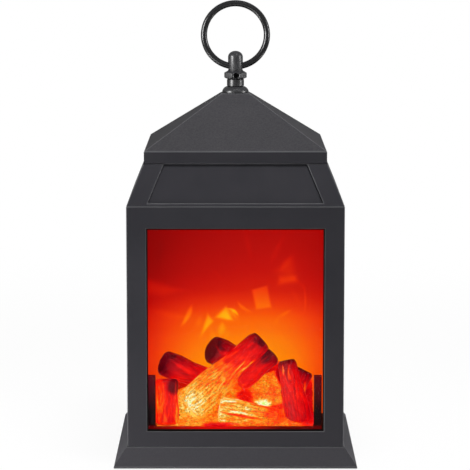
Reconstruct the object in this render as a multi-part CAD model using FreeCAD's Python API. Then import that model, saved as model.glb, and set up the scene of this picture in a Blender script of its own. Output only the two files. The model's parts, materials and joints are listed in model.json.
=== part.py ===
import FreeCAD, Part
import math
import os

# Flame effect lamp: a square lantern case on a flared plinth, with glowing logs behind a window
# and a turning flame rotor behind the screen. Millimetres, +Z up, and the window faces -Y.
# The origin is the centre of the footprint, on the surface that the lamp stands on.

# Case
plinth_half = 75.0
plinth_rim = 1.0
plinth_height = 11.85
plinth_ledge = 0.6
plinth_wall = 2.2
deck_thickness = 2.0
body_set_in = 8.25
body_height = 149.6
case_wall = 2.4
frame_side = 12.25
frame_sill = 9.85
frame_top = 13.45
hood_height = 25.0
hood_lean_in = 10.2
hood_wall = 4.0
hood_deck = 2.0
roof_set_in = 0.4
fascia_height = 7.75
roof_rise = 37.85
roof_top_half = 8.75
roof_wall = 2.2

# Clearances
slip_gap = 0.3
screw_gap = 0.1
running_gap = 0.05
overrun = 5.0

# Screws: the large ones hold the case, the small ones hold the inner works
shank_r = 1.5
head_r = 2.8
head_depth = 1.5
small_shank_r = 1.0
small_head_r = 1.9
small_head_depth = 1.2
small_screw_length = 5.0
cross_width_share = 0.3
cross_span_share = 1.25
cross_depth_share = 0.5
crown_share = 0.7

# Underside: feet, bottom plate and battery door
foot_height = 1.2
foot_proud = 0.8
foot_r = 7.0
foot_bevel = 0.4
foot_set_in = 19.0
plate_thickness = 2.0
plate_boss_r = 3.5
plate_screw_length = 8.0
plate_screw_in_x = 15.0
plate_screw_in_y = 34.0
base_screw_in = 4.35
base_screw_length = 8.0
door_gap = 0.35
door_seat = 0.6
hinge_pin_r = 0.5
hinge_pin_length = 1.5
finger_notch_r = 5.0
finger_notch_depth = 2.0

# Battery tray and cells
cell_count = 3
cell_r = 7.1
cell_length = 50.5
cell_nub_r = 2.75
cell_nub = 1.0
cell_gap = 0.9
cell_clear = 0.3
spring_length = 4.0
spring_r = 3.2
spring_wire_r = 0.3
spring_turns = 3
spring_steps = 14
wire_sides = 8
contact_thickness = 0.4
contact_half = 4.4
tray_wall = 1.4
ear_length = 8.0
ear_width = 8.0
ear_lift = 3.0
ear_thickness = 1.6
tray_boss_r = 3.0
deck_opening_gap = 1.0

# Body fixings
pad_size = 8.0
base_pad_height = 7.0
top_pad_thickness = 2.5
top_pad_size = 14.0
top_pad_drop = 3.0
lug_width = 5.0
lug_length = 8.0
lug_half = 3.5
rear_lug_width = 7.0
rear_lug_length = 12.0
rear_lug_low = 30.0
rear_lug_drop = 27.6
rear_screw_length = 9.0
deck_rib_half = 30.0
deck_rib_width = 1.5
deck_rib_height = 2.5

# Window, light box, screen and flame box
pane_thickness = 1.5
box_clear = 0.8
box_wall = 1.5
box_side_gap = 5.25
box_top_gap = 10.75
screen_depth_share = 0.41
screen_thickness = 1.0
flame_box_share = 0.36
clamp_low = 28.0
clamp_drop = 13.3
clamp_ear = 2.0
clamp_screw_length = 11.0

# Log bed and logs
bed_side_gap = 3.6
bed_back_gap = 2.3
bed_set_back = 4.85
bed_floor = 1.5
bed_shift = 0.5
cheek_width_share = 0.088
cheek_depth = 5.0
cheek_height = 32.1
log_height_share = 1.037
log_r_share = 0.148
log_gap = 0.25
lead_channel = 3.0
ember_rim_gap = 0.3
ember_start_share = 0.33
ember_depth_share = 0.604

# Lamps and circuit boards
board_thickness = 1.2
lamp_r = 2.5
lamp_flange_r = 2.9
lamp_flange = 1.0
lamp_straight = 3.5
log_board_half_share = 0.574
log_board_depth_share = 0.4
log_board_start_share = 0.355
log_board_x_share = -0.074
log_lamp_share = 0.407
flame_board_half = 28.0
flame_board_depth = 16.0
flame_lamp_pitch = 20.0
chamber_gap = 1.0

# Flame rotor, its motor and its bearings
rotor_height = 43.5
rotor_shaft_r = 1.0
blade_tip_r = 14.0
blade_thickness = 0.6
blade_space = 2.0
blade_rows = 7
blade_start_gap = 1.5
blade_end_gap = 8.0
blade_turn = 50.0
sleeve_wall = 1.4
motor_r = 8.5
motor_length = 18.0
motor_nose_r = 2.5
motor_bore_depth = 6.0
motor_end_gap = 1.6
motor_flat = 0.5
bracket_thickness = 1.5
bracket_half = 9.0
bracket_foot = 9.0
bracket_screw_half = 5.0
bracket_boss_r = 2.6
bracket_boss_length = 4.0
bearing_end_gap = 13.6
bush_r = 3.0
bush_flange_r = 4.4
bush_flange = 1.0
bush_length = 3.5
shaft_tail = 3.0

# Slide switch and control board
switch_height = 21.0
switch_half = 6.0
switch_half_height = 2.8
switch_depth = 5.5
switch_travel = 4.0
knob_half = 1.5
knob_half_height = 1.2
knob_base_half = 2.2
knob_base_height = 1.5
knob_base_depth = 1.6
knob_base_drop = 0.4
knob_recess = 0.1
knob_groove = 0.4
knob_groove_pitch = 0.9
pocket_margin = 4.0
pocket_depth = 1.2
control_half = 28.0
control_drop = 8.0
control_rise = 14.0
control_screw_x = 23.0
control_post_r = 3.0
chip_half = 3.5
chip_half_height = 2.5
chip_thickness = 1.4
chip_x = 11.0
chip_lift = 7.0
capacitor_r = 2.5
capacitor_length = 6.0
capacitor_x = -9.0

# Leads
lead_r = 0.6
lead_pitch = 1.8
lead_bend = 3.0
lead_hole_r = 3.2
battery_lead_x = 18.0
battery_lead_rise = 3.4
flame_lead_x = 5.0
log_lead_in = 5.0
motor_lead_x = -20.0
lead_lane = 12.0

# Hood panels, hood screws and roof screws
panel_depth = 1.8
panel_bottom_frame = 13.2
panel_top_frame = 12.6
panel_sill = 2.0
hood_boss_r = 4.0
hood_boss_rise = 14.0
hood_screw_in = 8.85
hood_screw_length = 9.0
collar_width = 1.6
collar_height = 3.0
roof_boss_r = 4.0
roof_boss_in = 22.15
roof_screw_length = 9.0
seat_thickness = 2.2

# Finial: flange, neck, faceted collar, eye stud and its nut
finial_shank_r = 2.5
flange_r = 8.35
flange_height = 3.9
flange_lip = 1.3
flange_throat_r = 5.9
flange_swell = 0.25
neck_r = 5.4
neck_height = 4.9
neck_groove = 0.4
neck_groove_depth = 0.6
facet_count = 8
facet_r = 6.9
facet_turn = 4.6
facet_height = 5.1
facet_bevel = 1.55
facet_bevel_in = 2.65
facet_under = 0.95
facet_under_in = 1.95
stud_r = 4.7
stud_straight = 8.8
stud_dome = 3.7
nut_r = 4.6
nut_height = 4.0
nut_sides = 6
washer_r = 6.4
washer_thickness = 1.0
shank_tail = 1.4
set_screw_r = 1.7
set_screw_drop = 0.3
set_screw_socket_r = 0.8
set_screw_socket = 1.2
set_screw_recess = 0.9

# Ring
ring_bar_r = 2.0
ring_centre_r = 19.9
eye_hole_r = 2.6
eye_lift = 0.35
seam_gap = 0.25
seam_angle = 136.0
full_turn = 360.0
curve_steps = 6

# Sizes and places that follow from the ones above
body_half = plinth_half - body_set_in
inner_half = body_half - case_wall
window_half = body_half - frame_side
hood_top_half = body_half - hood_lean_in
roof_half = hood_top_half - roof_set_in
box_half = inner_half - box_side_gap
bed_half = box_half - box_wall - bed_side_gap
foot_place = plinth_half - foot_set_in
base_screw_place = inner_half - base_screw_in
hood_screw_place = inner_half - hood_screw_in
roof_boss_place = roof_half - roof_boss_in
inner_depth = 2 * inner_half - pane_thickness
screen_depth = inner_depth * screen_depth_share
flame_box_depth = inner_depth * flame_box_share
bed_depth = screen_depth - bed_set_back - bed_back_gap
cheek_width = bed_half * cheek_width_share
log_height = bed_half * log_height_share
log_r = bed_half * log_r_share
log_board_half = bed_half * log_board_half_share
log_board_depth = bed_depth * log_board_depth_share
log_board_x = bed_half * log_board_x_share
log_lamp_pitch = bed_half * log_lamp_share
log_lead_x = log_board_x + log_board_half - log_lead_in
rim_z = foot_proud
rim_top_z = rim_z + plinth_rim
deck_z = rim_z + plinth_height
deck_under_z = deck_z - deck_thickness
case_top_z = deck_z + body_height
hood_top_z = case_top_z + hood_height
hood_under_z = hood_top_z - hood_deck
fascia_top_z = hood_top_z + fascia_height
roof_slope = roof_rise / roof_half
roof_top_z = fascia_top_z + roof_rise - roof_top_half * roof_slope
plate_top_z = foot_height + plate_thickness
plinth_top_half = body_half + plinth_ledge
plinth_flare = (plinth_half - plinth_top_half) / (plinth_height - plinth_rim)
cell_z = plate_top_z + cell_clear + cell_r
bay_top_z = cell_z + cell_r + cell_clear
tray_top_z = bay_top_z + tray_wall
bay_half_x = (cell_length + spring_length) / 2 + contact_thickness
bay_half_y = cell_count * (2 * cell_r + cell_gap) / 2
box_low_z = tray_top_z + box_clear
box_high_z = case_top_z - box_top_gap
pane_back_y = pane_thickness - inner_half
screen_y = pane_back_y + screen_depth
flame_y = screen_y + screen_thickness
flame_back_y = flame_y + flame_box_depth - box_wall
box_floor_z = box_low_z + box_wall
bed_front_y = pane_back_y + bed_set_back
bed_top_z = box_floor_z + bed_floor
log_board_y = bed_front_y + bed_depth * log_board_start_share
log_board_top_z = bed_top_z + board_thickness
chamber_top_z = log_board_top_z + lamp_flange + lamp_straight + lamp_r + chamber_gap
rotor_y = flame_y + flame_box_depth / 2
rotor_z = box_low_z + rotor_height
motor_x = motor_end_gap + motor_length + box_wall - box_half
bearing_x = box_half - box_wall - bearing_end_gap
blade_start_x = motor_x + bracket_thickness + blade_start_gap
blade_end_x = bearing_x - bush_flange - blade_end_gap
flame_board_y = rotor_y - flame_board_depth / 2
flame_board_top_z = box_floor_z + board_thickness
rear_in_y = body_half - case_wall
switch_z = deck_z + switch_height
control_y = rear_in_y - switch_depth - board_thickness
flame_lead_z = switch_z - control_drop + lead_hole_r
lead_rise_z = deck_z + battery_lead_rise
seat_z = roof_top_z - roof_wall - seat_thickness
flange_top_z = roof_top_z + flange_height
neck_top_z = flange_top_z + neck_height
facet_top_z = neck_top_z + facet_height
set_screw_z = (neck_top_z + facet_top_z) / 2 - set_screw_drop
eye_z = facet_top_z + eye_lift + eye_hole_r

corners = [(-1, -1), (1, -1), (-1, 1), (1, 1)]


def vec(x, y, z):
    return FreeCAD.Vector(x, y, z)


# Basic shapes

def block(low, high):
    return Part.makeBox(high[0] - low[0], high[1] - low[1], high[2] - low[2], vec(*low))


def slab(half_x, half_y, z_low, z_high):
    return block((-half_x, -half_y, z_low), (half_x, half_y, z_high))


def closed_wire(points):
    return Part.makePolygon([vec(*point) for point in points + points[:1]])


def square_wire(half, z):
    return closed_wire([(-half, -half, z), (half, -half, z), (half, half, z), (-half, half, z)])


def frustum(half_low, z_low, half_high, z_high):
    return Part.makeLoft([square_wire(half_low, z_low), square_wire(half_high, z_high)], True, True)


def bar(radius, start, end):
    way = vec(*end) - vec(*start)
    return Part.makeCylinder(radius, way.Length, vec(*start), way)


def turned(profile):
    # A solid of revolution about Z, from (radius, height) points
    face = Part.Face(closed_wire([(radius, 0, height) for radius, height in profile]))
    return face.revolve(vec(0, 0, 0), vec(0, 0, 1), full_turn)


def prism(sides, radius, z_low, z_high, first_turn_share=0.0):
    turns = [2 * math.pi * (side + first_turn_share) / sides for side in range(sides)]
    points = [(radius * math.cos(turn), radius * math.sin(turn), z_low) for turn in turns]
    return Part.Face(closed_wire(points)).extrude(vec(0, 0, z_high - z_low))


def placed(shape, position, direction):
    # Moves a shape that was made along +Z so that it stands at a position along a direction
    copy = shape.copy()
    turn = FreeCAD.Rotation(vec(0, 0, 1), vec(*direction))
    copy.Placement = FreeCAD.Placement(vec(*position), turn).multiply(shape.Placement)
    return copy


def joined(shapes):
    return shapes[0].multiFuse(shapes[1:]).removeSplitter()


def less(shape, tools):
    return shape.cut(Part.makeCompound(tools))


def quarter_turns(shape):
    turned_shapes = []
    for quarter in range(4):
        copy = shape.copy()
        copy.rotate(vec(0, 0, 0), vec(0, 0, 1), full_turn * quarter / 4)
        turned_shapes.append(copy)
    return turned_shapes


# Screws lie along +Z with the head's outer face at height zero, so that a direction points outwards

def cross_cut(radius, depth):
    half_width = radius * cross_width_share / 2
    half_span = radius * cross_span_share / 2
    cut_depth = depth * cross_depth_share
    return [slab(half_span, half_width, -cut_depth, depth), slab(half_width, half_span, -cut_depth, depth)]


def sunk_screw(length):
    profile = [(0, 0), (head_r, 0), (shank_r, -head_depth), (shank_r, -length), (0, -length)]
    return less(turned(profile), cross_cut(head_r, head_depth))


def sunk_hole(length):
    wide_r = head_r + screw_gap
    hole_r = shank_r + screw_gap
    end = -length - screw_gap
    return turned([(0, 0), (wide_r, 0), (hole_r, -head_depth), (hole_r, end), (0, end)])


def pan_screw(radius, wide_r, depth, length):
    crown_r = wide_r * crown_share
    profile = [(0, depth), (crown_r, depth), (wide_r, depth * crown_share), (wide_r, 0),
               (radius, 0), (radius, -length), (0, -length)]
    raised = [placed(cutter, (0, 0, depth), (0, 0, 1)) for cutter in cross_cut(wide_r, depth)]
    return less(turned(profile), raised)


def small_screw():
    return pan_screw(small_shank_r, small_head_r, small_head_depth, small_screw_length)


def pilot(radius, length, position, outward):
    hole = Part.makeCylinder(radius + screw_gap, length + overrun)
    hole.translate(vec(0, 0, -length - screw_gap))
    return placed(hole, position, outward)


def write(name, shape):
    solids = shape.Solids
    if len(solids) == 1:
        shape = solids[0]
    shape.exportStep("parts/" + name + ".step")
    print(name, len(solids), "solids, volume", round(sum(solid.Volume for solid in solids), 1))


def write_group(name, shapes):
    write(name, Part.makeCompound(shapes))


# Places that several pieces share

plate_screw_places = [(sx * (plinth_half - plate_screw_in_x), sy * (plinth_half - plate_screw_in_y))
                      for sx, sy in corners]
base_screw_places = [(sx * base_screw_place, sy * base_screw_place) for sx, sy in corners]
hood_screw_places = [(sx * hood_screw_place, sy * hood_screw_place) for sx, sy in corners]
roof_screw_places = [(sx * roof_boss_place, sy * roof_boss_place) for sx, sy in corners]
door_half_x = bay_half_x - contact_thickness - door_seat
hinge_y = bay_half_y - door_gap - plate_thickness / 2
hinge_z = foot_height + plate_thickness / 2
tray_half_x = bay_half_x + tray_wall
tray_half_y = bay_half_y + tray_wall
tray_ear_x = tray_half_x + ear_length / 2
tray_ear_z = plate_top_z + ear_lift + ear_thickness
rear_screw_x = inner_half - rear_lug_width / 2
rear_screw_places = [(side * rear_screw_x, height) for side in (-1, 1)
                     for height in (deck_z + rear_lug_low, case_top_z - rear_lug_drop)]
clamp_x = inner_half - lug_width / 2 - slip_gap
clamp_places = [(side, height) for side in (-1, 1)
                for height in (box_low_z + clamp_low, box_high_z - clamp_drop)]
motor_lead_target = (motor_x - motor_length / 2, rotor_y + motor_r, rotor_z)


# Plinth, bottom plate and feet

def base_plinth():
    outer = joined([slab(plinth_half, plinth_half, rim_z, rim_top_z),
                    frustum(plinth_half, rim_top_z, plinth_top_half, deck_z)])
    under_half = plinth_top_half + plinth_flare * deck_thickness - plinth_wall
    rim_in = plinth_half - plinth_wall
    hollow = joined([slab(rim_in, rim_in, rim_z - overrun, rim_top_z),
                     frustum(rim_in, rim_top_z, under_half, deck_under_z)])
    bosses = [bar(plate_boss_r, (x, y, plate_top_z), (x, y, deck_under_z + deck_thickness / 2))
              for x, y in plate_screw_places]
    rib_out = inner_half - slip_gap
    rib = block((-deck_rib_half, -rib_out, deck_z - deck_thickness / 2),
                (deck_rib_half, deck_rib_width - rib_out, deck_z + deck_rib_height))
    shell = joined([outer.cut(hollow)] + bosses + quarter_turns(rib))
    opening = slab(tray_half_x + deck_opening_gap, tray_half_y + deck_opening_gap,
                   deck_under_z - overrun, deck_z + overrun)
    pilots = [pilot(shank_r, plate_screw_length, (x, y, foot_height), (0, 0, -1))
              for x, y in plate_screw_places]
    passages = [bar(shank_r + screw_gap, (x, y, deck_under_z - overrun), (x, y, deck_z + overrun))
                for x, y in base_screw_places]
    return less(shell, [opening] + pilots + passages)


def bottom_plate():
    plate_half = plinth_half - plinth_wall - slip_gap - plinth_flare * (plate_top_z - rim_top_z)
    plate = slab(plate_half, plate_half, foot_height, plate_top_z)
    bosses = [bar(tray_boss_r, (side * tray_ear_x, 0, plate_top_z - plate_thickness / 2),
                  (side * tray_ear_x, 0, plate_top_z + ear_lift)) for side in (-1, 1)]
    opening = slab(door_half_x + door_gap, bay_half_y, foot_height - overrun, plate_top_z + overrun)
    sunk = [placed(sunk_hole(plate_screw_length), (x, y, foot_height), (0, 0, -1))
            for x, y in plate_screw_places]
    pin_end = door_half_x + door_gap + hinge_pin_length + slip_gap
    pin_hole = bar(hinge_pin_r + running_gap, (-pin_end, hinge_y, hinge_z), (pin_end, hinge_y, hinge_z))
    pilots = [pilot(small_shank_r, small_screw_length, (side * tray_ear_x, 0, tray_ear_z), (0, 0, 1))
              for side in (-1, 1)]
    scoop = turned([(0, 0), (finger_notch_r, 0), (0, finger_notch_depth)])
    scoop.translate(vec(0, -bay_half_y, foot_height))
    return less(joined([plate] + bosses), [opening, pin_hole, scoop] + sunk + pilots)


def plate_screws():
    return [placed(sunk_screw(plate_screw_length), (x, y, foot_height), (0, 0, -1))
            for x, y in plate_screw_places]


def rubber_feet():
    foot = turned([(0, 0), (foot_r - foot_bevel, 0), (foot_r, foot_bevel), (foot_r, foot_height),
                   (0, foot_height)])
    return [placed(foot, (sx * foot_place, sy * foot_place, 0), (0, 0, 1)) for sx, sy in corners]


def battery_door():
    front_y = door_gap - bay_half_y
    leaf = block((-door_half_x, front_y, foot_height), (door_half_x, hinge_y, plate_top_z))
    barrel = bar(plate_thickness / 2, (-door_half_x, hinge_y, hinge_z), (door_half_x, hinge_y, hinge_z))
    pin_end = door_half_x + door_gap + hinge_pin_length
    pin = bar(hinge_pin_r, (-pin_end, hinge_y, hinge_z), (pin_end, hinge_y, hinge_z))
    notch = bar(finger_notch_r, (0, front_y, foot_height - overrun), (0, front_y, hinge_z))
    return joined([leaf, barrel, pin]).cut(notch)


# Battery tray, cells and contacts

def battery_tray():
    outer = slab(tray_half_x, tray_half_y, plate_top_z, tray_top_z)
    bay = slab(bay_half_x, bay_half_y, plate_top_z - overrun, bay_top_z)
    ears = slab(tray_half_x + ear_length, ear_width / 2, tray_ear_z - ear_thickness, tray_ear_z)
    pilots = [pilot(small_shank_r, small_screw_length, (side * tray_ear_x, 0, tray_ear_z), (0, 0, 1))
              for side in (-1, 1)]
    return less(joined([outer, ears]), [bay] + pilots)


def cell_rows():
    # Each row holds its place along Y and the side that its cell's nub points to
    pitch = 2 * cell_r + cell_gap
    return [((row - (cell_count - 1) / 2) * pitch, 1 - 2 * (row % 2)) for row in range(cell_count)]


def battery_cells():
    straight = cell_length - cell_nub
    profile = [(0, 0), (cell_r, 0), (cell_r, straight), (cell_nub_r, straight), (cell_nub_r, cell_length),
               (0, cell_length)]
    flat_end = bay_half_x - contact_thickness - cell_length
    cell = turned(profile)
    return [placed(cell, (side * flat_end, y, cell_z), (side, 0, 0)) for y, side in cell_rows()]


def spring_coil():
    # A helix along +Z, lofted through many-sided cuts of its wire
    climb = spring_length - 2 * spring_wire_r - 2 * running_gap
    turns = [2 * math.pi * side / wire_sides for side in range(wire_sides)]
    points = [(spring_r + spring_wire_r * math.cos(turn), 0, spring_wire_r * math.sin(turn))
              for turn in turns]
    steps = spring_turns * spring_steps
    sections = []
    for step in range(steps + 1):
        section = closed_wire(points)
        section.translate(vec(0, 0, climb * step / steps))
        section.rotate(vec(0, 0, 0), vec(0, 0, 1), full_turn * step / spring_steps)
        sections.append(section)
    return Part.makeLoft(sections, True, True)


def contact_springs():
    springs = []
    coil = spring_coil()
    for y, side in cell_rows():
        start = bay_half_x - contact_thickness - spring_wire_r - running_gap
        springs.append(placed(coil, (-side * start, y, cell_z), (side, 0, 0)))
    return springs


def contact_plates():
    plates = []
    for y, side in cell_rows():
        for end in (-1, 1):
            near = end * (bay_half_x - contact_thickness)
            far = end * bay_half_x
            plates.append(block((min(near, far), y - contact_half, plate_top_z),
                                (max(near, far), y + contact_half, cell_z + contact_half)))
    return plates


# Body case, rear cover and their screws

def body_case():
    shell = slab(body_half, body_half, deck_z, case_top_z)
    hollow = block((-inner_half, -inner_half, deck_z - overrun),
                   (inner_half, body_half + overrun, case_top_z + overrun))
    window = block((-window_half, -body_half - overrun, deck_z + frame_sill),
                   (window_half, overrun - body_half + case_wall, case_top_z - frame_top))
    shell = shell.cut(hollow)
    rear = rear_in_y - slip_gap
    pads = []
    for side in (-1, 1):
        for front, back in ((-inner_half, pad_size - inner_half), (rear - pad_size, rear)):
            pads.append(side_block(side, pad_size, front, back, deck_z, deck_z + base_pad_height))
        top = case_top_z - top_pad_drop
        for front, back in ((-inner_half, top_pad_size - inner_half), (rear - top_pad_size, rear)):
            pads.append(side_block(side, top_pad_size, front, back, top - top_pad_thickness, top))
    for x, height in rear_screw_places:
        pads.append(side_block(x, rear_lug_width, rear_in_y - rear_lug_length, rear_in_y,
                               height - lug_half, height + lug_half))
    for side, height in clamp_places:
        pads.append(side_block(side, lug_width, screen_y - clamp_ear - lug_length, screen_y - clamp_ear,
                               height - lug_half, height + lug_half))
    holes = [pilot(shank_r, base_screw_length, (x, y, deck_under_z), (0, 0, -1))
             for x, y in base_screw_places]
    low_z = case_top_z - top_pad_drop - top_pad_thickness - overrun
    holes += [bar(shank_r + screw_gap, (x, y, low_z), (x, y, case_top_z)) for x, y in hood_screw_places]
    holes += [pilot(shank_r, rear_screw_length, (x, body_half, height), (0, 1, 0))
              for x, height in rear_screw_places]
    return less(joined([shell] + pads), [window] + holes + clamp_pilots())


def clamp_pilots():
    depth = flame_y + clamp_ear
    return [pilot(small_shank_r, clamp_screw_length, (side * clamp_x, depth, height), (0, 1, 0))
            for side, height in clamp_places]


def side_block(side, width, front, back, low, high):
    # A block that stands against the inside of the left or the right wall
    near = math.copysign(inner_half - width, side)
    far = math.copysign(inner_half + case_wall / 2, side)
    return block((min(near, far), front, low), (max(near, far), back, high))


def rear_cover():
    half = inner_half - slip_gap
    cover = block((-half, rear_in_y, deck_z), (half, body_half, case_top_z - slip_gap))
    posts = [bar(control_post_r, (side * control_screw_x, control_y + board_thickness, switch_z),
                 (side * control_screw_x, rear_in_y + case_wall / 2, switch_z)) for side in (-1, 1)]
    slot_half = switch_travel / 2 + knob_half + slip_gap
    slot_height = knob_half_height + slip_gap
    slot = block((-slot_half, rear_in_y - overrun, switch_z - slot_height),
                 (slot_half, body_half + overrun, switch_z + slot_height))
    pocket_half = slot_half + pocket_margin
    pocket_height = slot_height + pocket_margin
    pocket = block((-pocket_half, body_half - pocket_depth, switch_z - pocket_height),
                   (pocket_half, body_half + overrun, switch_z + pocket_height))
    sunk = [placed(sunk_hole(rear_screw_length), (x, body_half, height), (0, 1, 0))
            for x, height in rear_screw_places]
    screw_places = [(side * control_screw_x, control_y, switch_z) for side in (-1, 1)]
    pilots = [pilot(small_shank_r, small_screw_length, place, (0, -1, 0)) for place in screw_places]
    return less(joined([cover] + posts), [slot, pocket] + sunk + pilots)


def base_screws():
    screw = pan_screw(shank_r, head_r, head_depth, base_screw_length)
    return [placed(screw, (x, y, deck_under_z), (0, 0, -1)) for x, y in base_screw_places]


def rear_screws():
    return [placed(sunk_screw(rear_screw_length), (x, body_half, height), (0, 1, 0))
            for x, height in rear_screw_places]


# Window pane, light box, screen and flame box

def window_pane():
    return block((-box_half, -inner_half, box_low_z), (box_half, pane_back_y, box_high_z))


def clamp_ears(front, back, outer_front):
    # Ears at both sides; a step at the front of an ear closes the gap beside the screen
    ears = []
    for side, height in clamp_places:
        near = side * (box_half - box_wall / 2)
        step = side * (box_half + slip_gap)
        far = side * (inner_half - slip_gap)
        ears.append(block((min(near, far), front, height - lug_half),
                          (max(near, far), back, height + lug_half)))
        if outer_front < front:
            ears.append(block((min(step, far), outer_front, height - lug_half),
                              (max(step, far), back, height + lug_half)))
    return ears


def light_box():
    outer = block((-box_half, pane_back_y, box_low_z), (box_half, screen_y, box_high_z))
    half = box_half - box_wall
    hollow = block((-half, pane_back_y - overrun, box_floor_z),
                   (half, screen_y + overrun, box_high_z - box_wall))
    ears = clamp_ears(screen_y - clamp_ear, screen_y, screen_y - clamp_ear)
    return less(joined([outer.cut(hollow)] + ears), clamp_pilots())


def flame_screen():
    sheet = block((-box_half, screen_y, box_low_z), (box_half, flame_y, box_high_z))
    notch = block((log_lead_x - lead_channel, screen_y - overrun, box_low_z - overrun),
                  (log_lead_x + lead_channel, flame_y + overrun, log_board_top_z + lead_channel / 2))
    return sheet.cut(notch)


def flame_box():
    outer = block((-box_half, flame_y, box_low_z), (box_half, flame_back_y + box_wall, box_high_z))
    half = box_half - box_wall
    hollow = block((-half, flame_y - overrun, box_floor_z), (half, flame_back_y, box_high_z - box_wall))
    wall_mid = flame_back_y + box_wall / 2
    boss_end = flame_back_y + box_wall + bracket_boss_length
    bosses = [bar(bracket_boss_r, (x, wall_mid, z), (x, boss_end, z)) for x, z in bracket_screw_places()]
    shell = joined([outer.cut(hollow)] + bosses + clamp_ears(flame_y, flame_y + clamp_ear, screen_y))
    holes = [pilot(small_shank_r, small_screw_length, (x, flame_back_y - bracket_thickness, z), (0, -1, 0))
             for x, z in bracket_screw_places()]
    for x, z in ((motor_lead_target[0], rotor_z), (flame_lead_x, flame_lead_z)):
        holes.append(bar(lead_hole_r, (x, flame_back_y - overrun, z), (x, flame_back_y + overrun, z)))
    return less(shell, holes + clamp_pilots())


def clamp_screws():
    screw = pan_screw(small_shank_r, small_head_r, small_head_depth, clamp_screw_length)
    return [placed(screw, (side * clamp_x, flame_y + clamp_ear, height), (0, 1, 0))
            for side, height in clamp_places]


# Log bed and logs. A log's row gives its two ends and its two end radii:
# X in shares of the bed's half width, Y in shares of the bed's depth from its front,
# Z in shares of the logs' height from the bed's floor, radii in shares of the log radius.

log_shares = {
    "log_diagonal": ((-0.55, 0.29, 0.175), (0.31, 0.60, 0.89), 1.34, 0.99),
    "log_front": ((-0.19, 0.20, 0.165), (0.49, 0.22, 0.06), 1.04, 0.78),
    "stump_left": ((-0.79, 0.17, 0.00), (-0.795, 0.27, 0.50), 0.90, 0.90),
    "stump_right": ((0.745, 0.22, 0.00), (0.59, 0.42, 0.69), 1.06, 0.73),
    "log_left": ((-0.85, 0.49, 0.655), (-0.35, 0.69, 0.425), 1.02, 0.96),
    "log_crossed": ((-0.28, 0.55, 0.80), (0.11, 0.80, 0.59), 1.14, 1.00),
    "log_forked": ((0.05, 0.36, 0.42), (0.43, 0.58, 0.735), 0.70, 0.82),
    "log_right": ((0.61, 0.60, 0.18), (0.80, 0.68, 0.54), 0.88, 0.86),
}
bark_shares = ((0.0, 0.0), (0.0, 0.80), (0.05, 0.98), (0.32, 1.06), (0.64, 0.95), (0.94, 1.0),
               (1.0, 0.82), (1.0, 0.0))
ember_shares = ((-0.92, 0.0), (-0.92, 0.16), (-0.62, 0.30), (-0.30, 0.40), (0.0, 0.52), (0.34, 0.66),
                (0.62, 0.58), (0.92, 0.46), (0.92, 0.0))
ember_rim_share = 0.08
ember_front_share = 0.26


def log_point(shares):
    return (shares[0] * bed_half, bed_front_y + shares[1] * bed_depth, bed_top_z + shares[2] * log_height)


def log_solid(row, grow):
    start, end, start_share, end_share = row
    start = vec(*log_point(start))
    end = vec(*log_point(end))
    way = end - start
    profile = []
    for along, width in bark_shares:
        radius = log_r * (start_share + (end_share - start_share) * along)
        wide = width * radius + (grow if width > 0 else 0)
        profile.append((wide, along * (way.Length + 2 * grow) - grow))
    return placed(turned(profile), (start.x, start.y, start.z), (way.x, way.y, way.z))


def lamp_chamber():
    low_x = log_board_x - log_board_half - chamber_gap
    high_x = log_board_x + log_board_half + chamber_gap
    room = block((low_x, log_board_y - chamber_gap, bed_top_z - overrun),
                 (high_x, log_board_y + log_board_depth + chamber_gap, chamber_top_z))
    channel = block((log_lead_x - lead_channel, log_board_y, bed_top_z - overrun),
                    (log_lead_x + lead_channel, screen_y, log_board_top_z + lead_channel / 2))
    return [room, channel]


def ember_bed():
    front_y = bed_front_y + bed_depth * ember_start_share
    back_y = front_y + bed_depth * ember_depth_share
    sections = []
    for depth_y, share in ((bed_front_y + ember_rim_gap, ember_rim_share), (front_y, ember_front_share),
                           (back_y, 1)):
        sections.append(closed_wire([(x * bed_half - bed_shift, depth_y, bed_top_z + z * log_height * share)
                                     for x, z in ember_shares]))
    return Part.makeLoft(sections, True, True)


def cheeks(grow):
    low_x = -bed_half - bed_shift
    high_x = bed_half - bed_shift
    back_y = bed_front_y + cheek_depth + grow
    top_z = bed_top_z + cheek_height + grow
    return [block((near - grow, bed_front_y, box_floor_z), (near + cheek_width + grow, back_y, top_z))
            for near in (low_x, high_x - cheek_width)]


def log_pieces():
    # Each piece is trimmed by the ones before it, by the bed and by the room for the lamps
    bed_room = block((log_gap - bed_half - bed_shift, bed_front_y, bed_top_z),
                     (bed_half - bed_shift - log_gap, screen_y - log_gap, box_high_z - box_wall))
    shapes = {name: (log_solid(row, 0), log_solid(row, log_gap)) for name, row in log_shares.items()}
    mound = ember_bed()
    shapes["ember_bed"] = (mound, mound)
    pieces = {}
    grown_before = lamp_chamber() + cheeks(log_gap)
    for name, (solid, grown) in shapes.items():
        piece = less(solid.common(bed_room), grown_before)
        largest = max(piece.Solids, key=lambda part: part.Volume)
        pieces[name] = largest
        grown_before = grown_before + [grown]
    return pieces


def log_bed():
    floor = block((-bed_half - bed_shift, bed_front_y, box_floor_z),
                  (bed_half - bed_shift, bed_front_y + bed_depth, bed_top_z))
    return joined([floor] + cheeks(0))


# Lamps and their boards

def lamp(x, y, z):
    dome_z = lamp_flange + lamp_straight
    body = joined([Part.makeCylinder(lamp_flange_r, lamp_flange), Part.makeCylinder(lamp_r, dome_z),
                   Part.makeSphere(lamp_r, vec(0, 0, dome_z))])
    return placed(body.common(slab(lamp_flange_r, lamp_flange_r, 0, dome_z + lamp_r)), (x, y, z), (0, 0, 1))


def log_board():
    return block((log_board_x - log_board_half, log_board_y, bed_top_z),
                 (log_board_x + log_board_half, log_board_y + log_board_depth, log_board_top_z))


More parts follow.
